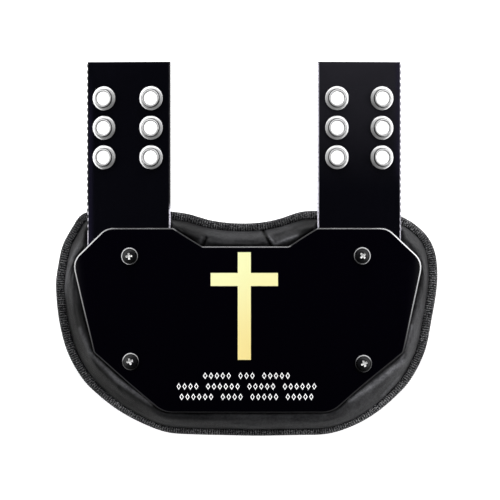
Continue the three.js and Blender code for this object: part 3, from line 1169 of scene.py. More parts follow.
@dataclass(frozen=True)
class SatinFabric:
    """Smooth satin weave over foam."""

    dark: tuple = (0.006, 0.006, 0.007)
    light: tuple = (0.03, 0.03, 0.032)
    thread: float = 0.0007
    rise: float = 0.6
    relief: float = 0.00008
    # Painted shade and highlight: how much darker a full dent is, and how much brighter a full ridge, more so
    # low on the left
    dent_dark: float = 0.85
    ridge_bright: float = 4.5
    left_ridge_bright: float = 14.0

    def painted_light(self, paint: Paint, x: Value, y: Value) -> Value:
        """Painted light and shade by place and by fold, as the fabric is lit.

        Args:
            paint: The finish in the making.
            x: Object coordinate x.
            y: Object coordinate y.

        Returns:
            What the plain colour is multiplied by.
        """
        fold = (paint.attribute("fold") - 0.5) * 2
        # Painted light and shade low down, darker on the left; painted shade beside the straps at the top;
        # painted highlight on ridges and painted shade in dents.
        low = y.eased(-0.03, -0.05) * (x.eased(-0.12, 0.03, -0.82, 0.65) + x.eased(0.07, 0.11, 0.0, 0.1))
        left = x.eased(-0.045, -0.02, 0.75, 0.0)
        right = abs(x - 0.075).eased(0.025, 0.045, 0.85, 0.0)
        high = y.eased(0.0, 0.008) * -left.most(right)
        bright = y.eased(-0.03, -0.06) * x.eased(-0.05, -0.09) * self.left_ridge_bright + self.ridge_bright
        dents = (1 - fold * self.dent_dark).most(0.1).least(1)
        return (low + high + 1) * dents * (1 - fold * bright).most(1)

    def material(self) -> Finish:
        """Builds the finish: a fine weave with soft mottling."""
        paint = Paint("satin_fabric")
        x, y, z = paint.axes(paint.place())
        turn = 2 * math.pi / self.thread
        warp = ((x + z * self.rise) * turn).sine()
        weft = ((y + z * self.rise) * turn).sine()
        weave = warp * weft * 0.5 + 0.5
        mottle = paint.speckle(paint.place(), 70, 5, 0.65)
        grain = paint.speckle(paint.place(), 520, 3, 0.6)
        share = mottle.eased(0.3, 0.7) * 0.5 + grain.eased(0.35, 0.65) * 0.35 + weave * 0.15
        plain = paint.colours(share, self.dark, self.light)
        # The plain colour is scaled by the painted light and shade.
        paint.set(Base_Color=paint.scaled(plain, self.painted_light(paint, x, y)))
        height = weave + mottle * 8 + grain * 2.5
        paint.set(Roughness=mottle.eased(0.2, 0.8, 0.45, 0.6), Normal=paint.relief(height, self.relief, 0.8))
        paint.set(Sheen_Weight=0.03, Sheen_Roughness=0.45, Specular_IOR_Level=0.2)
        return paint.material


@dataclass(frozen=True)
class KnitTape:
    """Ribbed knit tape, dark with light flecks."""

    dark: tuple = (0.002, 0.002, 0.003)
    light: tuple = (0.3, 0.3, 0.31)
    name: str = "knit_tape"
    fleck: float = 0.6
    # Painted light: brightness at the foot, fading out up to a height y, and that on the right, beyond an x
    foot: float = 2.0
    foot_y: tuple = (-0.125, -0.1)
    right: float = 1.4
    right_x: tuple = (0.03, 0.11)

    def material(self) -> Finish:
        """Builds the finish."""
        paint = Paint(self.name)
        fine = paint.speckle(paint.place(), 1150, 3, 0.7)
        broad = paint.speckle(paint.place(), 70, 2)
        share = fine.eased(self.fleck - 0.05, self.fleck + 0.07) * broad.eased(0.2, 0.75, 0.35, 1.0)
        x, y, _ = paint.axes(paint.place())
        # Painted light: brighter at the foot and towards the right.
        painted_light = y.eased(*self.foot_y, self.foot, 1.0) * x.eased(*self.right_x, 1.0, self.right)
        paint.set(Base_Color=paint.scaled(paint.colours(share, self.dark, self.light), painted_light), Roughness=0.7)
        paint.set(Normal=paint.relief(fine, 0.0004, 0.8), Specular_IOR_Level=0.2)
        return paint.material


def dressed(obj: Piece, materials: Sequence[Finish], slot: Slot) -> Piece:
    """Gives a finished piece its materials and body.

    Args:
        obj: The piece.
        materials: Its materials in order.
        slot: The record's slot; not used.

    Returns:
        The same piece.
    """
    indices = [face.material_index for face in obj.data.polygons]
    obj.data.materials.clear()
    for material in materials:
        obj.data.materials.append(material)
    obj.data.polygons.foreach_set("material_index", indices)
    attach(obj, BODY)
    LOG.info("%s: %d faces", obj.name, len(obj.data.polygons))
    return obj


class Scatter:
    """Geometry Nodes that put a copy of one shape at each point of a mesh.

    The points carry a vector attribute "turn", the copy's angles, and one named "size", its scale.
    """

    def __init__(self, shape: Piece, material: Finish) -> None:
        """Builds the tree.

        Args:
            shape: What is copied, which is removed after the copies are made.
            material: The copies' material.
        """
        self.shape = shape
        tree = bpy.data.node_groups.new("scatter", "GeometryNodeTree")
        socket = tree.interface.new_socket
        socket("Geometry", in_out="INPUT", socket_type="NodeSocketGeometry")
        self.copy_socket = socket("Copy", in_out="INPUT", socket_type="NodeSocketObject")
        self.finish_socket = socket("Finish", in_out="INPUT", socket_type="NodeSocketMaterial")
        socket("Geometry", in_out="OUTPUT", socket_type="NodeSocketGeometry")
        net = Pattern(tree)
        given = {s.name: Value(net, s) for s in tree.nodes.new("NodeGroupInput").outputs if s.name}
        stored = ("GeometryNodeInputNamedAttribute", "Attribute")
        turn = net.node(*stored, {"Name": "turn"}, data_type="FLOAT_VECTOR")
        copies = {
            "Points": given["Geometry"],
            "Instance": net.node("GeometryNodeObjectInfo", "Geometry", {"Object": given["Copy"]}),
            "Rotation": net.node("FunctionNodeEulerToRotation", "Rotation", {"Euler": turn}),
            "Scale": net.node(*stored, {"Name": "size"}, data_type="FLOAT_VECTOR"),
        }
        copies = net.node("GeometryNodeInstanceOnPoints", "Instances", copies)
        real = net.node("GeometryNodeRealizeInstances", "Geometry", {"Geometry": copies})
        painted = {"Geometry": real, "Material": given["Finish"]}
        painted = net.node("GeometryNodeSetMaterial", "Geometry", painted)
        net.feed(tree.nodes.new("NodeGroupOutput").inputs["Geometry"], painted)
        self.tree, self.material = tree, material

    def spread(self, name: str, places: Sequence[tuple[Matrix, Vector]]) -> Piece:
        """Makes one plain mesh of all the copies.

        Args:
            name: The piece's name.
            places: Place and scale of each copy.

        Returns:
            The new object.
        """
        data = bpy.data.meshes.new(name)
        data.from_pydata([m.translation for m, _ in places], [], [])
        for key, values in (
            ("turn", [tuple(m.to_euler()) for m, _ in places]),
            ("size", [tuple(s) for _, s in places]),
        ):
            store = data.attributes.new(key, "FLOAT_VECTOR", "POINT")
            store.data.foreach_set("vector", [part for value in values for part in value])
        obj = placed(name, data)
        modifier = obj.modifiers.new("scatter", "NODES")
        modifier.node_group = self.tree
        modifier[self.copy_socket.identifier] = self.shape
        modifier[self.finish_socket.identifier] = self.material
        applied(obj)
        for key in ("turn", "size"):
            if key in obj.data.attributes:
                obj.data.attributes.remove(obj.data.attributes[key])
        dropped(self.shape)
        return obj


@dataclass
class BackPlate:
    """The hard plate with its cut bevel."""

    layers: Layers
    plan: Plan
    step: float = 0.002
    least_step: float = 0.00012
    # The bevel's faces slope by so many degrees, and lie no deeper than this below the face
    bevel_slopes: tuple = (20, 75)
    bevel_depth: float = 0.0015
    # Section of the edge, from below: distance in from the outline and depth below the face
    section: tuple = (
        (0.0, 0.004),
        (0.0, 0.00104),
        (0.00003, 0.00093),
        (0.0001, 0.00084),
        (0.00084, 0.0001),
        (0.00094, 0.00003),
        (0.0011, 0.0),
    )

    def loop(self) -> list[Vector]:
        """Outline's loop, with stations close enough to follow the curve."""
        outline = plate_outline(self.plan)
        xs = {round(p.x, 7) for p in outline.upper + outline.lower}
        xs |= {round(k * self.step, 7) for k in range(int(outline.tip / self.step) + 1)}
        stations = []
        for x in sorted(xs):
            if not stations or x - stations[-1] > self.least_step:
                stations.append(x)
        stations[-1] = outline.tip
        return nudged(outline.loop(stations), PLATE_NUDGES)

    def build(self, face: Finish, edge: Finish) -> Piece:
        """Makes the plate, with its four screw holes.

        Args:
            face: Finish of its face.
            edge: Finish of its bevel.

        Returns:
            The plate.
        """
        loop = self.loop()
        build = Build()
        for distance, depth in self.section:
            radius = self.layers.plate - depth
            points = inset(loop, distance)
            build.ring([Vector((p.x, p.y, self.layers.height(radius, p.x))) for p in points])
        build.strips(build.rings[0], 1, lambda x, y: 0.0, True)
        build.strips(build.rings[-1], 1, lambda x, y: 0.0, False)
        plate = build.done("plate_shell", 40)
        for cutter in self.cutters():
            cut_out(plate, cutter)
        resharpened(plate, 30)
        self.mark_edge(plate)
        dressed(plate, [face, edge], Slot.PLATE)
        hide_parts("back_plate")
        return plate

    def cutters(self) -> list[Piece]:
        """A round cutter for each screw hole."""
        made = []
        radius = self.plan.screw_hole / MM
        for side, level in SCREW_OFFSETS:
            cutter = lathe([(0, -9), (radius, -9), (radius, 9), (0, 9)], 24, "cutter", 30)
            cutter.data.transform(screw_place(self.layers, self.plan, side, level))
            made.append(cutter)
        return made

    def mark_edge(self, plate: Piece) -> None:
        """Sets the second material on the bevel.

        Args:
            plate: The plate.
        """
        least, most = self.bevel_slopes
        for face in plate.data.polygons:
            radial = Vector((face.center.x, 0, face.center.z - self.layers.axis_z)).normalized()
            slope = math.degrees(face.normal.angle(radial))
            radius = self.layers.radius_at(face.center.x, face.center.z)
            if least < slope < most and radius > self.layers.plate - self.bevel_depth:
                face.material_index = 1


@dataclass
class Cross:
    """The plain Latin cross printed on the plate."""

    layers: Layers
    plan: Plan
    height: float = 0.0837
    span: float = 0.0524
    bar: float = 0.0102
    arm_drop: float = 0.0161
    margin: float = 0.0045
    shift: float = -0.0017
    lift: float = 0.00008
    thickness: float = 0.00022
    step: float = 0.002

    def build(self, print_finish: Finish) -> Piece:
        """Makes the cross as a thin closed sheet that follows the plate.

        Args:
            print_finish: Its finish.

        Returns:
            The cross.
        """
        top = self.plan.plate_top - self.plan.notch_depth - self.margin
        foot = top - self.height
        arm_top = top - self.arm_drop
        half, reach = self.bar / 2, self.span / 2
        arm_low = arm_top - self.bar
        right = [(half, foot), (half, arm_low), (reach, arm_low)]
        right += [(reach, arm_top), (half, arm_top), (half, top)]
        corners = [(-half, foot), *right, *((-x, y) for x, y in reversed(right[1:]))]
        middle = self.layers.plate + self.lift + self.thickness / 2
        cross = bent_sheet("cross_print", corners, [], self.thickness, 0.0, self.step)
        for vert in cross.data.vertices:
            x = vert.co.x + self.shift
            vert.co = (x, vert.co.y, self.layers.height(middle + vert.co.z, x))
        dressed(cross, [print_finish], Slot.CROSS)
        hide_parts("cross_decal")
        return cross


def bent_sheet(
    name: str,
    corners: Sequence[tuple[float, float]],
    holes: Sequence[tuple[float, float, float]],
    thickness: float,
    bevel: float,
    step: float,
) -> Piece:
    """A flat sheet with holes, cut finely across x so that it can be bent afterwards.

    Args:
        name: The piece's name.
        corners: Its outline.
        holes: Middle and radius of each hole.
        thickness: Its thickness, half of it on each side of z = 0.
        bevel: Radius of its rounded edges.
        step: Width of the strips.

    Returns:
        The flat sheet, shaded smooth with crisp edges.
    """
    curve = bpy.data.curves.new(name, "CURVE")
    curve.dimensions, curve.fill_mode = "2D", "BOTH"
    curve.extrude, curve.bevel_depth = thickness / 2 - bevel, bevel
    curve.offset, curve.bevel_resolution = -bevel, 2
    rims = [list(corners)]
    for x, y, radius in holes:
        rims.append([(x + radius * p.x, y + radius * p.y) for p in circle(48)])
    for rim in rims:
        spline = curve.splines.new("POLY")
        spline.points.add(len(rim) - 1)
        for point, (x, y) in zip(spline.points, rim):
            point.co = (x, y, 0, 1)
        spline.use_cyclic_u = True
    helper = placed(name + "_curve", curve)
    flat = evaluated_mesh(helper)
    dropped(helper)
    mesh = bmesh.new()
    mesh.from_mesh(flat)
    bmesh.ops.remove_doubles(mesh, verts=mesh.verts, dist=MERGE)
    xs = [x for x, _ in corners]
    cuts = int((max(xs) - min(xs)) / step)
    for k in range(1, cuts + 1):
        place = (lerp(min(xs), max(xs), k / (cuts + 1)), 0, 0)
        everything = mesh.verts[:] + mesh.edges[:] + mesh.faces[:]
        bmesh.ops.bisect_plane(mesh, geom=everything, plane_co=place, plane_no=(1, 0, 0), dist=MERGE)
    bmesh.ops.recalc_face_normals(mesh, faces=mesh.faces)
    crisp(mesh, 25)
    mesh.to_mesh(flat)
    mesh.free()
    flat.materials.clear()
    return placed(name, flat)


@dataclass
class Marks:
    """Three rows of plain lozenges, where the photographed plate is lettered."""

    layers: Layers
    height: float = 0.0054
    width: float = 0.0034
    stroke: float = 0.0007
    pitch: float = 0.0046
    thickness: float = 0.00012
    lift: float = 0.00004
    # Middle height of each row, and the lozenges in each of its groups
    rows: tuple = (
        (-0.0990, (5, 3, 5)),
        (-0.1073, (4, 6, 5, 6)),
        (-0.1154, (6, 4, 5, 5)),
    )

    def shape(self) -> Piece:
        """One open lozenge, a flat closed ring."""
        build = Build()
        half_width, half_height = self.width / 2, self.height / 2
        outer = [Spot(0, -half_height), Spot(half_width, 0), Spot(0, half_height), Spot(-half_width, 0)]
        share = 1 - 2 * self.stroke / self.width
        levels = ((1.0, 0.0), (1.0, self.thickness), (share, self.thickness), (share, 0.0))
        for size, z in levels:
            build.ring([Vector((p.x * size, p.y * size, z)) for p in outer])
        build.join(build.rings[-1], build.rings[0])
        return build.done("lozenge", 30)

    def build(self, finish: Finish) -> Piece:
        """Makes the three rows.

        Args:
            finish: Their finish.

        Returns:
            All the lozenges as one piece.
        """
        places = []
        radius = self.layers.plate + self.lift
        for y, groups in self.rows:
            count = sum(groups) + len(groups) - 1
            at = -(count - 1) / 2
            for group in groups:
                for _ in range(group):
                    angle = at * self.pitch / radius
                    places.append((self.layers.turned(angle, y, radius), Vector((1, 1, 1))))
                    at += 1
                at += 1
        marks = Scatter(self.shape(), finish).spread("plate_marks", places)
        return dressed(marks, [finish], Slot.CROSS)


@dataclass
class Strap:
    """One wide coated strap, bent with the layers, with its holes and edge stitches."""

    layers: Layers
    plan: Plan
    side: Side
    bevel: float = 0.001
    step: float = 0.0025
    # The cut edge's faces lie within this of the edge, and lean out by at least this share
    edge_width: float = 0.0015
    edge_lean: float = 0.25
    hole: float = 0.0063
    pitch: float = 0.023
    column_spacing: float = 0.0373
    end_margin: float = 0.0285
    outer_shift: float = -0.0009
    stitch_pitch: float = 0.0049
    stitch_length: float = 0.0028
    stitch_radius: float = 0.0006
    stitch_inset: float = 0.0004
    stitch_sink: float = 0.0003
    first_stitch: float = 0.003
    covered_stitch: float = 0.004

    def grommets(self) -> list[tuple[str, float, float]]:
        """Name, distance across from the strap's centre line and y of each grommet."""
        found = []
        for row, name in enumerate(("top", "middle", "bottom")):
            for column, share in (("inner", -0.5), ("outer", 0.5)):
                across = self.side.value * share * self.column_spacing
                across += self.outer_shift if column == "outer" else 0.0
                y = self.plan.strap_top - self.end_margin - row * self.pitch
                found.append((f"grommet_{self.side.name.lower()}_{name}_{column}", across, y))
        return found

    def corners(self) -> list[tuple[float, float]]:
        """Outline of the flat strap, narrowed where it is tucked under the plate's slanting edge."""
        plan = self.plan
        half, top = plan.strap_width / 2, plan.strap_top
        right = [(-half, plan.strap_bottom), *plan.strap_cut(), (half, top), (-half, top)]
        return [(self.side.value * x, y) for x, y in right]

    def bend(self, obj: Piece) -> None:
        """Bends a flat mesh to the layers.

        Args:
            obj: The flat mesh, with x across from the centre line and z up from the middle of the wall.
        """
        angle = self.plan.strap_angle(self.side, self.layers.strap)
        middle = self.layers.strap - self.layers.strap_wall / 2
        for vert in obj.data.vertices:
            turn = angle + vert.co.x / self.layers.strap
            radius = middle + vert.co.z
            vert.co = (radius * math.sin(turn), vert.co.y, self.layers.axis_z + radius * math.cos(turn))

    def build(self, coat: Finish, cut_edge: Finish, thread: Finish) -> Piece:
        """Makes the strap and its stitches.

        Args:
            coat: Finish of its faces.
            cut_edge: Finish of its long edges.
            thread: Finish of its stitches.

        Returns:
            The strap.
        """
        holes = [(across, y, self.hole) for _, across, y in self.grommets()]
        for level in Level:
            offset = SCREW_OFFSETS[self.side, level]
            across = offset.x - self.plan.strap_shift
            holes.append((across, self.plan.screw_y(level) + offset.y, self.plan.screw_hole))
        name = f"coated_strap_{self.side.name.lower()}"
        strap = bent_sheet(name, self.corners(), holes, self.layers.strap_wall, self.bevel, self.step)
        outside = self.plan.strap_width / 2 - self.edge_width
        for face in strap.data.polygons:
            outer = abs(face.center.x) > outside
            face.material_index = int(outer and abs(face.normal.x) > self.edge_lean)
        self.bend(strap)
        dressed(strap, [coat, cut_edge], Slot.STRAP)
        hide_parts(f"strap_{self.side.name.lower()}")
        self.stitches(thread)
        return strap

    def stitches(self, thread: Finish) -> Piece:
        """A row of short stitches over the strap's outer edge.

        Args:
            thread: Their finish.

        Returns:
            All the stitches as one piece.
        """
        # Share of half the length and share of the radius, from end to end
        swells = ((-1.03, 0), (-1, 0.25), (-0.9, 0.7), (-0.6, 1), (0.6, 1), (0.9, 0.7), (1, 0.25), (1.03, 0))
        reach = self.stitch_length / 2
        path = [(Vector((0, reach * share, 0)), self.stitch_radius * swell) for share, swell in swells]
        shape = rod("stitch", path, Vector((1, 0, 0)), 8, 60)
        layers, plan = self.layers, self.plan
        reach_out = (plan.strap_width / 2 - self.stitch_inset) / layers.strap
        angle = plan.strap_angle(self.side, layers.strap) + self.side.value * reach_out
        places = []
        count = int((plan.strap_top - plan.plate_top + self.covered_stitch) / self.stitch_pitch)
        for k in range(count):
            y = plan.strap_top - self.first_stitch - k * self.stitch_pitch
            place = layers.turned(angle, y, layers.strap - self.stitch_sink)
            places.append((place, Vector((1, 1, 1))))
        name = f"strap_stitches_{self.side.name.lower()}"
        stitches = Scatter(shape, thread).spread(name, places)
        return dressed(stitches, [thread], Slot.STRAP)


@dataclass
class Grommets:
    """The plated grommets of one strap, in millimetres."""

    strap: Strap
    sides: int = 56
    hole: float = 5.25
    barrel: float = 6.0
    rim: float = 9.3
    lip_middle: float = 6.07
    lip_radius: float = 0.82
    groove_width: float = 0.4
    groove_floor: float = 0.95
    flange_top: float = 1.75
    flange_round: float = 0.2
    back_wall: float = 1.0
    gap: float = 0.3
    height: float = 3.7

    def profile(self) -> list[tuple[float, float]]:
        """Closed section of a grommet, millimetres from its axis and above the strap's outer face."""
        centre = Spot(self.lip_middle, self.height - self.lip_radius)
        lip = arc(centre, self.lip_radius, 185, -10, 14)
        inner = self.lip_middle + self.lip_radius
        outer = inner + self.groove_width
        edge = Spot(self.rim - self.flange_round, self.gap + 0.3)
        back = -self.strap.layers.strap_wall / MM - self.gap
        return [
            (self.hole, back - 0.2),
            *lip,
            (inner + 0.02, self.gap + self.groove_floor),
            (outer, self.gap + self.groove_floor),
            (outer + 0.03, self.gap + self.flange_top),
            (outer + 0.25, self.gap + self.flange_top - 0.03),
            *arc(edge, self.flange_round, 50, 0, 4),
            (self.rim, self.gap),
            (self.barrel, self.gap),
            (self.barrel, back),
            (self.rim, back),
            (self.rim, back - 0.6),
            (self.rim - 0.3, back - 0.95),
            (self.barrel + 0.2, back - self.back_wall),
            (self.hole + 0.3, back - 0.75),
        ]

    def shaded(self, face: bpy.types.MeshPolygon) -> bool:
        """Whether a face of the pattern lies in the groove, or on the upper slope inside the lip.

        Args:
            face: A face of the grommet that stands at the origin.

        Returns:
            True where the face gets the painted shade.
        """
        centre = face.center / MM
        reach = math.hypot(centre.x, centre.y)
        outward = (face.normal.x * centre.x + face.normal.y * centre.y) / reach
        inner = self.lip_middle + self.lip_radius
        in_groove = inner - 0.1 < reach < inner + self.groove_width + 0.04 and centre.z > 0
        on_lip = reach < self.lip_middle and centre.z > self.height - self.lip_radius
        return in_groove or (on_lip and outward < -0.6)

    def build(self, finish: Finish, shade: Finish) -> list[Piece]:
        """Makes the grommets in their places.

        Args:
            finish: Their finish.
            shade: The painted shade in the groove and inside the lip.

        Returns:
            The grommets.
        """
        layers, plan = self.strap.layers, self.strap.plan
        pattern = lathe(self.profile(), self.sides, "pattern", 50)
        # Faces in the groove and inside the lip take the second material, painted shade.
        for face in pattern.data.polygons:
            face.material_index = int(self.shaded(face))
        made = []
        for name, across, y in self.strap.grommets():
            angle = plan.strap_angle(self.strap.side, layers.strap) + across / layers.strap
            grommet = placed(f"plated_{name}", pattern.data.copy())
            grommet.data.transform(layers.turned(angle, y, layers.strap))
            dressed(grommet, [finish, shade], Slot.GROMMET)
            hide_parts(name)
            made.append(grommet)
        dropped(pattern)
        return made


@dataclass
class Screws:
    """The four dome-headed screws with cross recesses, in millimetres."""

    layers: Layers
    plan: Plan
    sides: int = 48
    length: float = 13
    shank: float = 2.4
    tip: float = 1.2
    head: float = 6.75
    gap: float = 0.3
    dome: float = 5.35
    dome_low: float = 1.15
    dome_top: float = 2.9
    recess_width: float = 5.9
    recess_arm: float = 1.75
    recess_depth: float = 1.3
    taper: float = 0.6
    rim_start: float = 5.55
    # Turn of each recess in degrees
    turns: dict = field(
        default_factory=lambda: {
            (Side.LEFT, Level.UPPER): 5,
            (Side.LEFT, Level.LOWER): 18,
            (Side.RIGHT, Level.UPPER): 42,
            (Side.RIGHT, Level.LOWER): 22,
        }
    )

    def dome_height(self, reach: float) -> float:
        """Height of the dome at a distance from the screw's axis."""
        return lerp(self.dome_top, self.dome_low, (reach / self.dome) ** 2)

    def profile(self) -> list[tuple[float, float]]:
        """Section of a screw from its tip to the middle of its head."""
        shank = [(0, -self.length), (self.tip, -self.length), (self.shank, self.tip - self.length)]
        under = [(self.shank, self.gap), (self.head - 0.15, self.gap), (self.head, self.gap + 0.15)]
        rim = [(self.head, 0.75), (self.head - 0.07, 0.9), (5.8, 1.5), (5.68, 1.52), (5.58, 1.42), (5.5, 0.8)]
        dome = [(self.dome * k / 8, self.dome_height(self.dome * k / 8)) for k in range(8, -1, -1)]
        return [*shank, *under, *rim, *dome]

    def cutter(self, turn: float) -> Piece:
        """One tapered arm of the recess.

        Args:
            turn: Its turn about Z, in radians.

        Returns:
            The cutter, in its place on a screw at the origin.
        """
        build = Build()
        rise = self.recess_depth
        for width, z in ((self.taper, self.dome_top - rise), (2 - self.taper, self.dome_top + rise)):
            x, y = self.recess_width / 2 * width, self.recess_arm / 2 * width
            build.ring([Vector((a, b, z)) * MM for a, b in ((-x, -y), (-x, y), (x, y), (x, -y))])
        build.mesh.faces.new(build.rings[0][::-1])
        build.mesh.faces.new(build.rings[1])
        arm = build.done("arm", 30)
        arm.data.transform(Matrix.Rotation(turn, 4, "Z"))
        return arm

    def build(self, black: Finish, steel: Finish, rim: Finish) -> list[Piece]:
        """Makes the four screws.

        Args:
            black: Finish of the head.
            steel: Finish of the recess.
            rim: Finish of the rim.

        Returns:
            The screws.
        """
        made = []
        for (side, level), degrees in self.turns.items():
            name = f"screw_{side.name.lower()}_{level.value}"
            screw = lathe(self.profile(), self.sides, f"domed_{name}", 50)
            for extra in (0, 90):
                cut_out(screw, self.cutter(math.radians(degrees + extra)))
            self.sort_faces(screw)
            screw.data.transform(screw_place(self.layers, self.plan, side, level))
            dressed(screw, [black, steel, rim], Slot.SCREW)
            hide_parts(name)
            made.append(screw)
        return made

    def sort_faces(self, screw: Piece) -> None:
        """Gives the recess bare steel and the rim its metal finish.

        Args:
            screw: A screw at the origin.
        """
        mesh = bmesh.new()
        mesh.from_mesh(screw.data)
        for face in mesh.faces:
            centre = face.calc_center_median() / MM
            reach = math.hypot(centre.x, centre.y)
            if reach > self.rim_start and centre.z > self.gap:
                face.material_index = 2
            else:
                face.material_index = int(reach < 4 and 1 < centre.z < self.dome_height(reach) - 0.06)
        crisp(mesh, 38)
        mesh.to_mesh(screw.data)
        mesh.free()


@dataclass
class Binding:
    """The knitted tape folded round the pad's edge, with its ribs."""

    layers: Layers
    plan: Plan
    count: int = 436
    wall: float = 0.0012
    side_width: float = 0.0074
    top_width: float = 0.0066
    bottom_width: float = 0.0050
    back_width: float = 0.0080
    edge: float = 0.0026
    waviness: float = 0.0005
    rib: float = 0.0005
    # Each rib's path over the front: share of the way out, and lift above the middle of the tape
    rib_path: tuple = (
        (0.0, 0.0022),
        (0.14, 0.0029),
        (0.4, 0.00305),
        (0.62, 0.003),
        (0.8, 0.0027),
        (0.93, 0.0019),
        (1.0, 0.0006),
    )

    def loop(self) -> list[Vector]:
        """Evenly spaced points round the outside."""
        return respaced(nudged(pad_outline(self.plan).even_loop(self.count), PAD_NUDGES), self.count)

    def width_at(self, point: Vector) -> float:
        """Width of the tape on the front, which varies round the pad.

        Args:
            point: A point of the outline.

        Returns:
            The width there.
        """
        plan = self.plan
        up = (point.y - plan.pad_bottom) / plan.pad_length
        low = lerp(self.bottom_width, self.side_width, smooth_step(0.02, 0.3, up))
        return lerp(low, self.top_width, smooth_step(0.75, 0.95, up))

    def section(self, width: float) -> list[tuple[float, float]]:
        """Section of the folded tape, round its outside and back through its inside.

        Args:
            width: Width of the tape on the front.

        Returns:
            Distance inward and lift of each point.
        """
        half, edge = self.layers.binding_half, self.edge
        top = [(width, half - 0.0009), (width * 0.93, half - 0.0003), (width * 0.75, half)]
        top.append((width * 0.5, half))
        rim = [(d, z / edge * half) for d, z in arc(Spot(edge, 0.0), edge, 90, 270, 9)]
        below = [(self.back_width * 0.6, -half), (self.back_width, -half)]
        inner = [(self.back_width, self.wall - half), (edge, self.wall - half), (self.wall, 0.0)]
        inner += [(edge, half - self.wall), (width, half - self.wall - 0.0004)]
        return [*top, *rim, *below, *inner]

    def surface(self, point: Vector, side: Vector, distance: float, lift: float) -> Vector:
        """Point of the tape at a distance inward and a lift."""
        flat = point + side * distance
        return Vector((flat.x, flat.y, self.layers.binding_height(lift, flat.x)))

    def build(self, tape: Finish, rib: Finish) -> Piece:
        """Makes the tape and its ribs.

        Args:
            tape: Finish of the tape.
            rib: Finish of the ribs.

        Returns:
            The tape.
        """
        loop = self.loop()
        sides = inward(loop)
        build = Build()
        rows = []
        for point, side in zip(loop, sides):
            wave = noise.noise(Vector((point.x * 90, point.y * 90, 3.1))) * self.waviness
            section = self.section(self.width_at(point) + wave)
            rows.append([self.surface(point, side, d, z) for d, z in section])
        for k in range(len(rows[0])):
            build.ring([row[k] for row in rows])
        build.join(build.rings[-1], build.rings[0])
        folded = build.done("folded_tape", 50)
        dressed(folded, [tape], Slot.BINDING)
        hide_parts("pad_binding")
        around = sum((a - b).length for a, b in zip(loop, loop[1:] + loop[:1]))
        ribs = self.ribs(loop, sides, rib)
        return folded

    def rib_shape(self) -> Piece:
        """One rib, of length 1 along X, thinner at its ends."""
        last = len(self.rib_path) - 1
        path = []
        for i, (share, lift) in enumerate(self.rib_path):
            path.append((Vector((share, 0, lift)), self.rib * (0.45 if i in (0, last) else 1.0)))
        tip = Vector((0.01, 0, 0))
        path = [(path[0][0] - tip, 0.0), *path, (path[-1][0] + tip, 0.0)]
        return rod("rib", path, Vector((0, 1, 0)), 6, 70)

    def ribs(self, loop: Points, sides: Points, finish: Finish) -> Piece:
        """Fine cross ribs over the front and round the edge.

        Args:
            loop: The outline's points, one for each rib.
            sides: The inward direction at each of them.
            finish: Finish of the ribs.

        Returns:
            All the ribs as one piece.
        """
        places = []
        for i, (point, side) in enumerate(zip(loop, sides)):
            width = self.width_at(point)
            inner = self.surface(point, side, width, 0.0)
            outer = self.surface(point, side, 0.0, 0.0)
            across = (outer - inner).normalized()
            ahead = loop[(i + 1) % len(loop)] - loop[i - 1]
            along = Vector((ahead.x, ahead.y, 0)).normalized()
            up = across.cross(along).normalized()
            if up.z < 0:
                up = -up
            along = up.cross(across)
            lean = noise.noise(Vector((i * 0.37, 7.7, 0))) * 0.1
            turn = Matrix((across, along, up)).transposed().to_4x4() @ Matrix.Rotation(lean, 4, "Z")
            places.append((Matrix.Translation(inner) @ turn, Vector(((outer - inner).length, 1, 1))))
        ribs = Scatter(self.rib_shape(), finish).spread("tape_ribs", places)
        return dressed(ribs, [finish], Slot.BINDING)


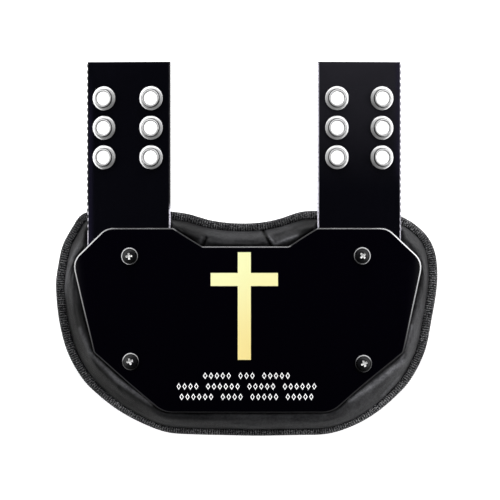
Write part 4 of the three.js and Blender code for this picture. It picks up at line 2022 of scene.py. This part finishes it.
@dataclass
class Pad:
    """The fabric-covered foam pad: a puffy band round the plate, a seat under it and a smooth back."""

    layers: Layers
    plan: Plan
    binding: Binding
    steps: int = 130
    back_rows: int = 24
    tongue: float = 0.0010
    tongue_inset: float = 0.0035
    under_tape: float = 0.0006
    under_back: float = 0.0012
    beside_plate: float = 0.00025
    under_plate: tuple = (0.0012, 0.004)
    seat: float = 0.0119
    crest: float = 0.0136
    strap_room: float = 0.0086
    strap_clear: float = 0.0006
    strap_ramp: float = 0.0045
    free_lift: float = 0.02
    simulated_frames: int = 12
    pressure: float = 2.5
    most_puff: float = 0.0011
    full_dent: float = 0.0014
    front_above: float = 0.004
    # Front band from the tape to the plate: share of the way across, and share of the rise to the crest
    front: tuple = (
        (0.0, 0.04),
        (0.03, 0.16),
        (0.08, 0.30),
        (0.15, 0.44),
        (0.24, 0.58),
        (0.34, 0.71),
        (0.45, 0.83),
        (0.56, 0.92),
        (0.67, 0.98),
        (0.78, 1.0),
        (0.87, 0.99),
        (0.94, 0.95),
        (1.0, 0.88),
    )
    # Back band: distance in from the tape's edge and depth below the middle of the binding
    back: tuple = (
        (0.0, 0.0013),
        (0.0005, 0.0028),
        (0.0014, 0.0043),
        (0.003, 0.0053),
        (0.0055, 0.0058),
        (0.009, 0.006),
        (0.014, 0.006),
    )
    # The creases also set the fold attribute, which the fabric turns into painted shade in dents and painted
    # highlight on ridges.
    creases: tuple = (
        Crease(0.0125, 0.015, 0.0195, 0.0012, 0.0026, 0.0011),
        Crease(0.0168, 0.0095, 0.0218, 0.003, -0.0008, 0.0012),
        Crease(0.0222, 0.0028, 0.039, 0.0092, -0.0011, 0.0015),
        Crease(0.023, 0.009, 0.039, 0.015, 0.0007, 0.0018),
        Crease(-0.031, 0.0078, -0.034, 0.001, 0.0018, 0.001),
        Crease(-0.0348, 0.0078, -0.0368, 0.003, -0.0005, 0.0012),
        Crease(-0.05, 0.015, -0.044, 0.006, 0.0006, 0.0014),
        Crease(-0.131, 0.0105, -0.1415, -0.01, 0.0006, 0.0011),
        Crease(-0.1272, 0.0098, -0.1385, -0.0115, -0.0005, 0.001),
        Crease(-0.1395, -0.015, -0.1425, -0.038, -0.0004, 0.0012),
        Crease(0.124, 0.003, 0.1345, -0.008, -0.0005, 0.0013),
        Crease(0.1345, -0.02, 0.1385, -0.042, 0.0004, 0.0016),
        Crease(0.129, -0.06, 0.12, -0.088, -0.0004, 0.0012),
        Crease(-0.1224, -0.0806, -0.0993, -0.1037, -0.0012, 0.0019),
        Crease(-0.0993, -0.1037, -0.0732, -0.1205, -0.0011, 0.0019),
        Crease(-0.1296, -0.0632, -0.1224, -0.0806, -0.0007, 0.0019),
        Crease(-0.1357, -0.0655, -0.1263, -0.0871, 0.0009, 0.003),
        Crease(-0.1263, -0.0871, -0.1116, -0.1046, 0.001, 0.0034),
        Crease(-0.1116, -0.1046, -0.0936, -0.1184, 0.001, 0.0034),
        Crease(-0.0936, -0.1184, -0.076, -0.1282, 0.0008, 0.0032),
        Crease(0.1216, -0.0883, 0.0939, -0.1098, -0.0009, 0.0019),
        Crease(0.0939, -0.1098, 0.08, -0.1185, -0.0008, 0.0018),
        Crease(0.1185, -0.1006, 0.1062, -0.1144, -0.0003, 0.0013),
        Crease(-0.09, -0.12, -0.099, -0.1085, 0.0006, 0.0014),
    )

    def strap_limit(self, x: float, y: float) -> float:
        """Most lift that the straps leave at a point, which grows large away from them.

        Args:
            x: The point's x.
            y: The point's y.

        Returns:
            The lift above the middle of the binding.
        """
        layers, plan = self.layers, self.plan
        here = math.asin(max(min(x / layers.strap, 1.0), -1.0))
        side = Side.RIGHT if x > 0 else Side.LEFT
        across = (here - plan.strap_angle(side, layers.strap)) * layers.strap * side.value
        beyond = max(across - plan.strap_reach(y), -across - plan.strap_width / 2, plan.strap_bottom - y)
        free = smooth_step(self.strap_clear, self.strap_clear + self.strap_ramp, beyond)
        return lerp(self.strap_room, self.free_lift, free)

    def loops(self) -> tuple[list[Vector], list[Vector], list[Vector]]:
        """Loop round the outside, inward directions and the plate's own loop, point for point."""
        outer_outline, plate = pad_outline(self.plan), plate_outline(self.plan)
        outer = nudged(outer_outline.loop(stations_to(outer_outline.tip, self.steps)), PAD_NUDGES)
        rim = nudged(plate.loop(stations_to(plate.tip, self.steps)), PLATE_NUDGES)
        return outer, inward(outer), rim

    def lift_along(self, place: float, share: float, band: float) -> float:
        """Folds and gathers added to the band.

        Args:
            place: Distance along the band in metres.
            share: Share of the way from tape to plate.
            band: Width of the band there.

        Returns:
            Lift to add.
        """
        gathers = noise.noise(Vector((place / 0.0062, 1.5, share * 0.8))) * math.exp(-share / 0.22)
        folds = noise.noise(Vector((place / 0.034, share * band / 0.0035, 9.0)))
        folds += 0.5 * noise.noise(Vector((place / 0.017, share * band / 0.0016, 4.0)))
        ease = smooth_step(0.0, 0.12, share) * (1 - smooth_step(0.9, 1.0, share))
        return (0.0006 * gathers + 0.001 * folds) * ease

    def cover(self, flat: Vector, lift: float) -> Vector:
        """Point of the cover above a flat one, pressed down where a strap lies on it."""
        lift = min(lift, self.strap_limit(flat.x, flat.y))
        return Vector((flat.x, flat.y, self.layers.pad_height(lift, flat.x)))

    def seat_height(self, x: float, y: float) -> float:
        """Height of the foam's seat under the plate."""
        return self.cover(Vector((x, y)), self.seat).z

    def back_height(self, x: float, y: float) -> float:
        """Height of the smooth back, with a faint swell."""
        swell = noise.noise(Vector((x * 22, y * 22, 5.0))) * 0.0006
        return self.layers.pad_height(-self.back[-1][1] + swell, x)

    def band(self, outer: Points, sides: Points, rim: Points) -> list[list[Vector]]:
        """Rings of the front band, from the tape to the plate.

        Args:
            outer: The pad's outline.
            sides: The inward direction at each of its points.
            rim: The plate's outline, point for point.

        Returns:
            The rings.
        """
        reach = [0.0]
        for a, b in zip(outer, outer[1:]):
            reach.append(reach[-1] + (b - a).length)
        groove = [p + s * (self.binding.width_at(p) - self.under_tape) for p, s in zip(outer, sides)]
        rings = []
        for share, rise in self.front:
            ring = []
            for start, end, place in zip(groove, inset(rim, -self.beside_plate), reach):
                lift = lerp(self.tongue, self.crest, rise)
                lift += self.lift_along(place, share, (end - start).length)
                ring.append(self.cover(start.lerp(end, share), lift))
            rings.append(ring)
        return rings

    def blank(self) -> tuple[Piece, list[int]]:
        """The unpuffed pad and the points that its puffing holds still."""
        outer, sides, rim = self.loops()
        back_start = self.binding.back_width - self.under_back
        # Each ring, and whether it is held
        rings = []
        for distance, depth in reversed(self.back):
            held = distance == 0.0 or distance > 0.01
            rings.append((self.ring_at(outer, sides, back_start + distance, -depth), held))
        for lift in (-self.tongue, self.tongue):
            rings.append((self.ring_at(outer, sides, self.tongue_inset, lift), True))
        band = self.band(outer, sides, rim)
        rings += [(ring, ring is band[0] or ring is band[-1]) for ring in band]
        for distance in self.under_plate:
            rings.append(([self.cover(p, self.seat) for p in inset(rim, distance)], True))
        build = Build()
        for ring, _ in rings:
            build.ring(ring)
        count = len(outer)
        still = [count * i + k for i, (_, held) in enumerate(rings) if held for k in range(count)]
        build.strips(build.rings[-1], 6, self.seat_height, False)
        build.strips(build.rings[0], self.back_rows, self.back_height, True)
        still.extend(range(count * len(rings), len(build.mesh.verts)))
        return self.finished(build), still

    def finished(self, build: Build) -> Piece:
        """The built mesh as an object, with its points in the order that they were made.

        Args:
            build: The mesh in the making.

        Returns:
            The new object.
        """
        bmesh.ops.recalc_face_normals(build.mesh, faces=build.mesh.faces)
        for face in build.mesh.faces:
            face.smooth = True
        data = bpy.data.meshes.new("covered_pad")
        build.mesh.to_mesh(data)
        build.mesh.free()
        return placed("covered_pad", data)

    def ring_at(self, outer: Points, sides: Points, distance: float, lift: float) -> list[Vector]:
        """Ring at a distance inward from the outline, lifted from the middle of the binding."""
        flat = [point + side * distance for point, side in zip(outer, sides)]
        return [Vector((p.x, p.y, self.layers.pad_height(lift, p.x))) for p in flat]

    def puff(self, pad: Piece, held: Sequence[int]) -> None:
        """Blows the cover up by a short cloth simulation, held at the tape, under the plate and on the back.

        Args:
            pad: The blank.
            held: Points that stay where they are.
        """
        rest = [v.co.copy() for v in pad.data.vertices]
        group = pad.vertex_groups.new(name="held")
        group.add(list(held), 1.0, "REPLACE")
        cloth = pad.modifiers.new("puff", "CLOTH")
        settings = cloth.settings
        settings.vertex_group_mass = "held"
        settings.quality, settings.mass = 5, 0.15
        settings.tension_stiffness, settings.compression_stiffness = 25, 25
        settings.bending_stiffness = 0.3
        settings.use_pressure, settings.uniform_pressure_force = True, self.pressure
        settings.effector_weights.gravity = 0.0
        cloth.collision_settings.use_collision = False
        cloth.point_cache.frame_start, cloth.point_cache.frame_end = 1, self.simulated_frames
        scene = bpy.context.scene
        for step in range(1, self.simulated_frames + 1):
            scene.frame_set(step)
        found = evaluated_mesh(pad)
        moved = [v.co.copy() for v in found.vertices]
        pad.modifiers.clear()
        pad.vertex_groups.clear()
        bpy.data.meshes.remove(found)
        scene.frame_set(1)
        fixed = set(held)
        for i, vert in enumerate(pad.data.vertices):
            shift = moved[i] - rest[i]
            if i in fixed or shift.length == 0:
                continue
            vert.co = rest[i] + shift * min(1.0, self.most_puff / shift.length)

    def settle(self, pad: Piece) -> None:
        """Presses creases in and keeps the cover clear of straps and floor.

        Args:
            pad: The puffed pad, whose attribute "fold" gets 0.5 plus half the depth's share of a full dent.
        """
        layers = self.layers
        fold = pad.data.attributes.new("fold", "FLOAT", "POINT")
        for vert, mark in zip(pad.data.vertices, fold.data):
            flat = Vector((vert.co.x, vert.co.y))
            dent = 0.0
            if layers.radius_at(vert.co.x, vert.co.z) > layers.pad or vert.co.z > self.front_above:
                dents = [self.dent(crease, flat) for crease in self.creases]
                dent = max(dents) + min(dents)
            vert.co.z -= dent
            # fold records the dent for the fabric's painted shade in dents and painted highlight on ridges.
            mark.value = 0.5 + 0.5 * max(min(dent / self.full_dent, 1.0), -1.0)
            top = layers.pad_height(self.strap_limit(flat.x, flat.y), flat.x)
            vert.co.z = max(min(vert.co.z, top), layers.floor_gap)

    @staticmethod
    def dent(crease: Crease, point: Vector) -> float:
        """Depth of a crease at a point.

        Args:
            crease: The crease.
            point: The point, seen from above.

        Returns:
            How far the cover lies below its even height.
        """
        start, end = Vector((crease.x0, crease.y0)), Vector((crease.x1, crease.y1))
        along = end - start
        share = min(max((point - start).dot(along) / along.length_squared, 0.0), 1.0)
        away = (point - start - along * share).length / crease.width
        return crease.depth * math.exp(-away * away)

    def build(self, fabric: Finish) -> Piece:
        """Makes the pad.

        Args:
            fabric: Finish of its cover.

        Returns:
            The pad.
        """
        pad, held = self.blank()
        self.puff(pad, held)
        smooth = pad.modifiers.new("smooth", "SUBSURF")
        smooth.levels = smooth.render_levels = 1
        applied(pad)
        self.settle(pad)
        for face in pad.data.polygons:
            face.use_smooth = True
        dressed(pad, [fabric], Slot.FABRIC)
        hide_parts("pad")
        return pad


@dataclass
class Studio:
    """White floor, soft light and the camera of the photograph."""

    frame_width: float = 0.39
    distance: float = 8.0
    middle: Spot = Spot(0.00273, -0.00117)
    sensor: float = 0.036
    reference_height: float = 0.025
    sky: float = 1.15
    dark_reach: float = 50.0
    dark_sides: float = 0.12
    floor_radius: float = 3.0
    floor_drop: float = 0.0004

    def build(self) -> None:
        """Sets up floor, sky, lights and camera."""
        self.floor()
        self.world()
        self.lights()
        self.camera()
        bpy.context.scene.view_settings.view_transform = "Standard"

    def floor(self) -> None:
        """A round white floor."""
        build = Build()
        build.ring([Vector((p.x, -p.y, 0)) * self.floor_radius for p in circle(64)])
        build.mesh.faces.new(build.rings[0])
        floor = build.done("floor", 30)
        if floor.data.polygons[0].normal.z < 0:
            floor.data.flip_normals()
        floor.location.z = -self.floor_drop
        white = Plain("floor_white", (0.75, 0.75, 0.75), roughness=1.0, specular=0.0, glow=0.92)
        floor.data.materials.append(white.material())

    def world(self) -> None:
        """Sky that is dark overhead, so that the plate stays black, and bright low down away from -Y."""
        world = bpy.data.worlds.new("studio")
        bpy.context.scene.world = world
        world.use_nodes = True
        tree = world.node_tree
        sky = Pattern(tree)
        x, y, z = sky.axes(sky.node("ShaderNodeTexCoord", "Generated"))
        edge = math.cos(math.radians(self.dark_reach))
        low = (x * x * self.dark_sides + z).eased(edge + 0.06, edge - 0.12, 0.008, 1.0)
        front = y.eased(-0.75, 0.2, 0.12, self.sky)
        background = tree.nodes["Background"]
        background.inputs["Color"].default_value = (1, 1, 1, 1)
        sky.feed(background.inputs["Strength"], low * front)

    def lights(self) -> None:
        """Softboxes at +Y and at both sides, below the part of the sky that the plate mirrors."""
        boxes = (
            ("key", (0.0, 2.2, 0.85), (2.4, 0.9), 60.0),
            ("left", (-2.1, 0.3, 0.45), (1.6, 0.7), 26.0),
            ("right", (2.1, 0.3, 0.45), (1.6, 0.7), 30.0),
            ("top", (0.0, 1.5, 2.1), (1.6, 0.8), 26.0),
        )
        for name, place, size, power in boxes:
            light = bpy.data.lights.new(name, "AREA")
            light.shape, light.size, light.size_y, light.energy = "RECTANGLE", size[0], size[1], power
            obj = placed(name, light)
            obj.location = place
            obj.rotation_euler = (-Vector(place)).to_track_quat("-Z", "Y").to_euler()
            obj.visible_camera = False
            obj.visible_glossy = False

    def camera(self) -> None:
        """A long lens straight above."""
        data = bpy.data.cameras.new("camera")
        data.sensor_width = self.sensor * 1000
        data.lens = self.sensor * 1000 * (self.distance - self.reference_height) / self.frame_width
        data.clip_end = 30
        camera = placed("camera", data)
        camera.location = (self.middle.x, self.middle.y, self.distance)
        camera.rotation_euler = Euler((0, 0, 0))
        bpy.context.scene.camera = camera


def main() -> None:
    """Builds the pieces in order and reports each."""
    logging.basicConfig(level=logging.INFO, format="%(name)s: %(message)s")
    plate_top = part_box("back_plate")[1].z
    layers, plan = Layers(axis_z=plate_top - Layers.plate), Plan()
    Studio().build()
    BackPlate(layers, plan).build(GlossPlate().material(), PolishedEdgePaintedHighlight().material())
    Cross(layers, plan).build(CrossPrint().material())
    # The marks glow a little, as painted light on the white print.
    Marks(layers).build(Plain("mark_print", (0.9, 0.9, 0.9), roughness=0.4, glow=0.2).material())
    chrome = Chrome().material()
    # A dark copy of the plating paints shade in the grommets' grooves and inside their lips.
    grommet_painted_shade = BareSteel(base=(0.03, 0.03, 0.032), name="tarnished_plating", roughness=0.4).material()
    # Both cut edges are painted pale as a highlight; the left strap's get painted shade above y = 0.03.
    cut_edges = {
        Side.LEFT: CutEdge(dark_from=0.03, name="dark_cut_edge").material(),
        Side.RIGHT: CutEdge().material(),
    }
    # The right strap's coat has a painted reflection at its top end.
    coats = {
        Side.LEFT: StrapCoat().material(),
        Side.RIGHT: StrapCoat(
            name="hazy_strap_coat", haze_and_painted_reflection=(0.0135, 0.013, 0.0165), rim_x=0.1165, rim_y=(0.045, 0.075)
        ).material(),
    }
    threads = {
        Side.LEFT: Plain("thread", (0.006, 0.006, 0.007), specular=0.3).material(),
        Side.RIGHT: Plain("pale_thread", (0.36, 0.35, 0.4), specular=0.3).material(),
    }
    for side in Side:
        strap = Strap(layers, plan, side)
        strap.build(coats[side], cut_edges[side], threads[side])
        Grommets(strap).build(chrome, grommet_painted_shade)
    steel = BareSteel(base=(0.9, 0.9, 0.9), roughness=0.5, metal=0.2).material()
    # The lower screws' rims get painted shade on their lower half.
    rim = BareSteel(base=(0.5, 0.5, 0.51), name="worn_rim", roughness=0.2, shade_below=-0.0885).material()
    black = Plain("screw_black", (0.006, 0.006, 0.007), roughness=0.28, specular=0.4).material()
    Screws(layers, plan).build(black, steel, rim)
    rib_yarn = KnitTape(name="rib_yarn", dark=(0.012, 0.012, 0.013), light=(0.17, 0.17, 0.175), fleck=0.5)
    binding = Binding(layers, plan)
    Pad(layers, plan, binding).build(SatinFabric().material())
    binding.build(KnitTape().material(), rib_yarn.material())


if __name__ == "__main__":
    main()
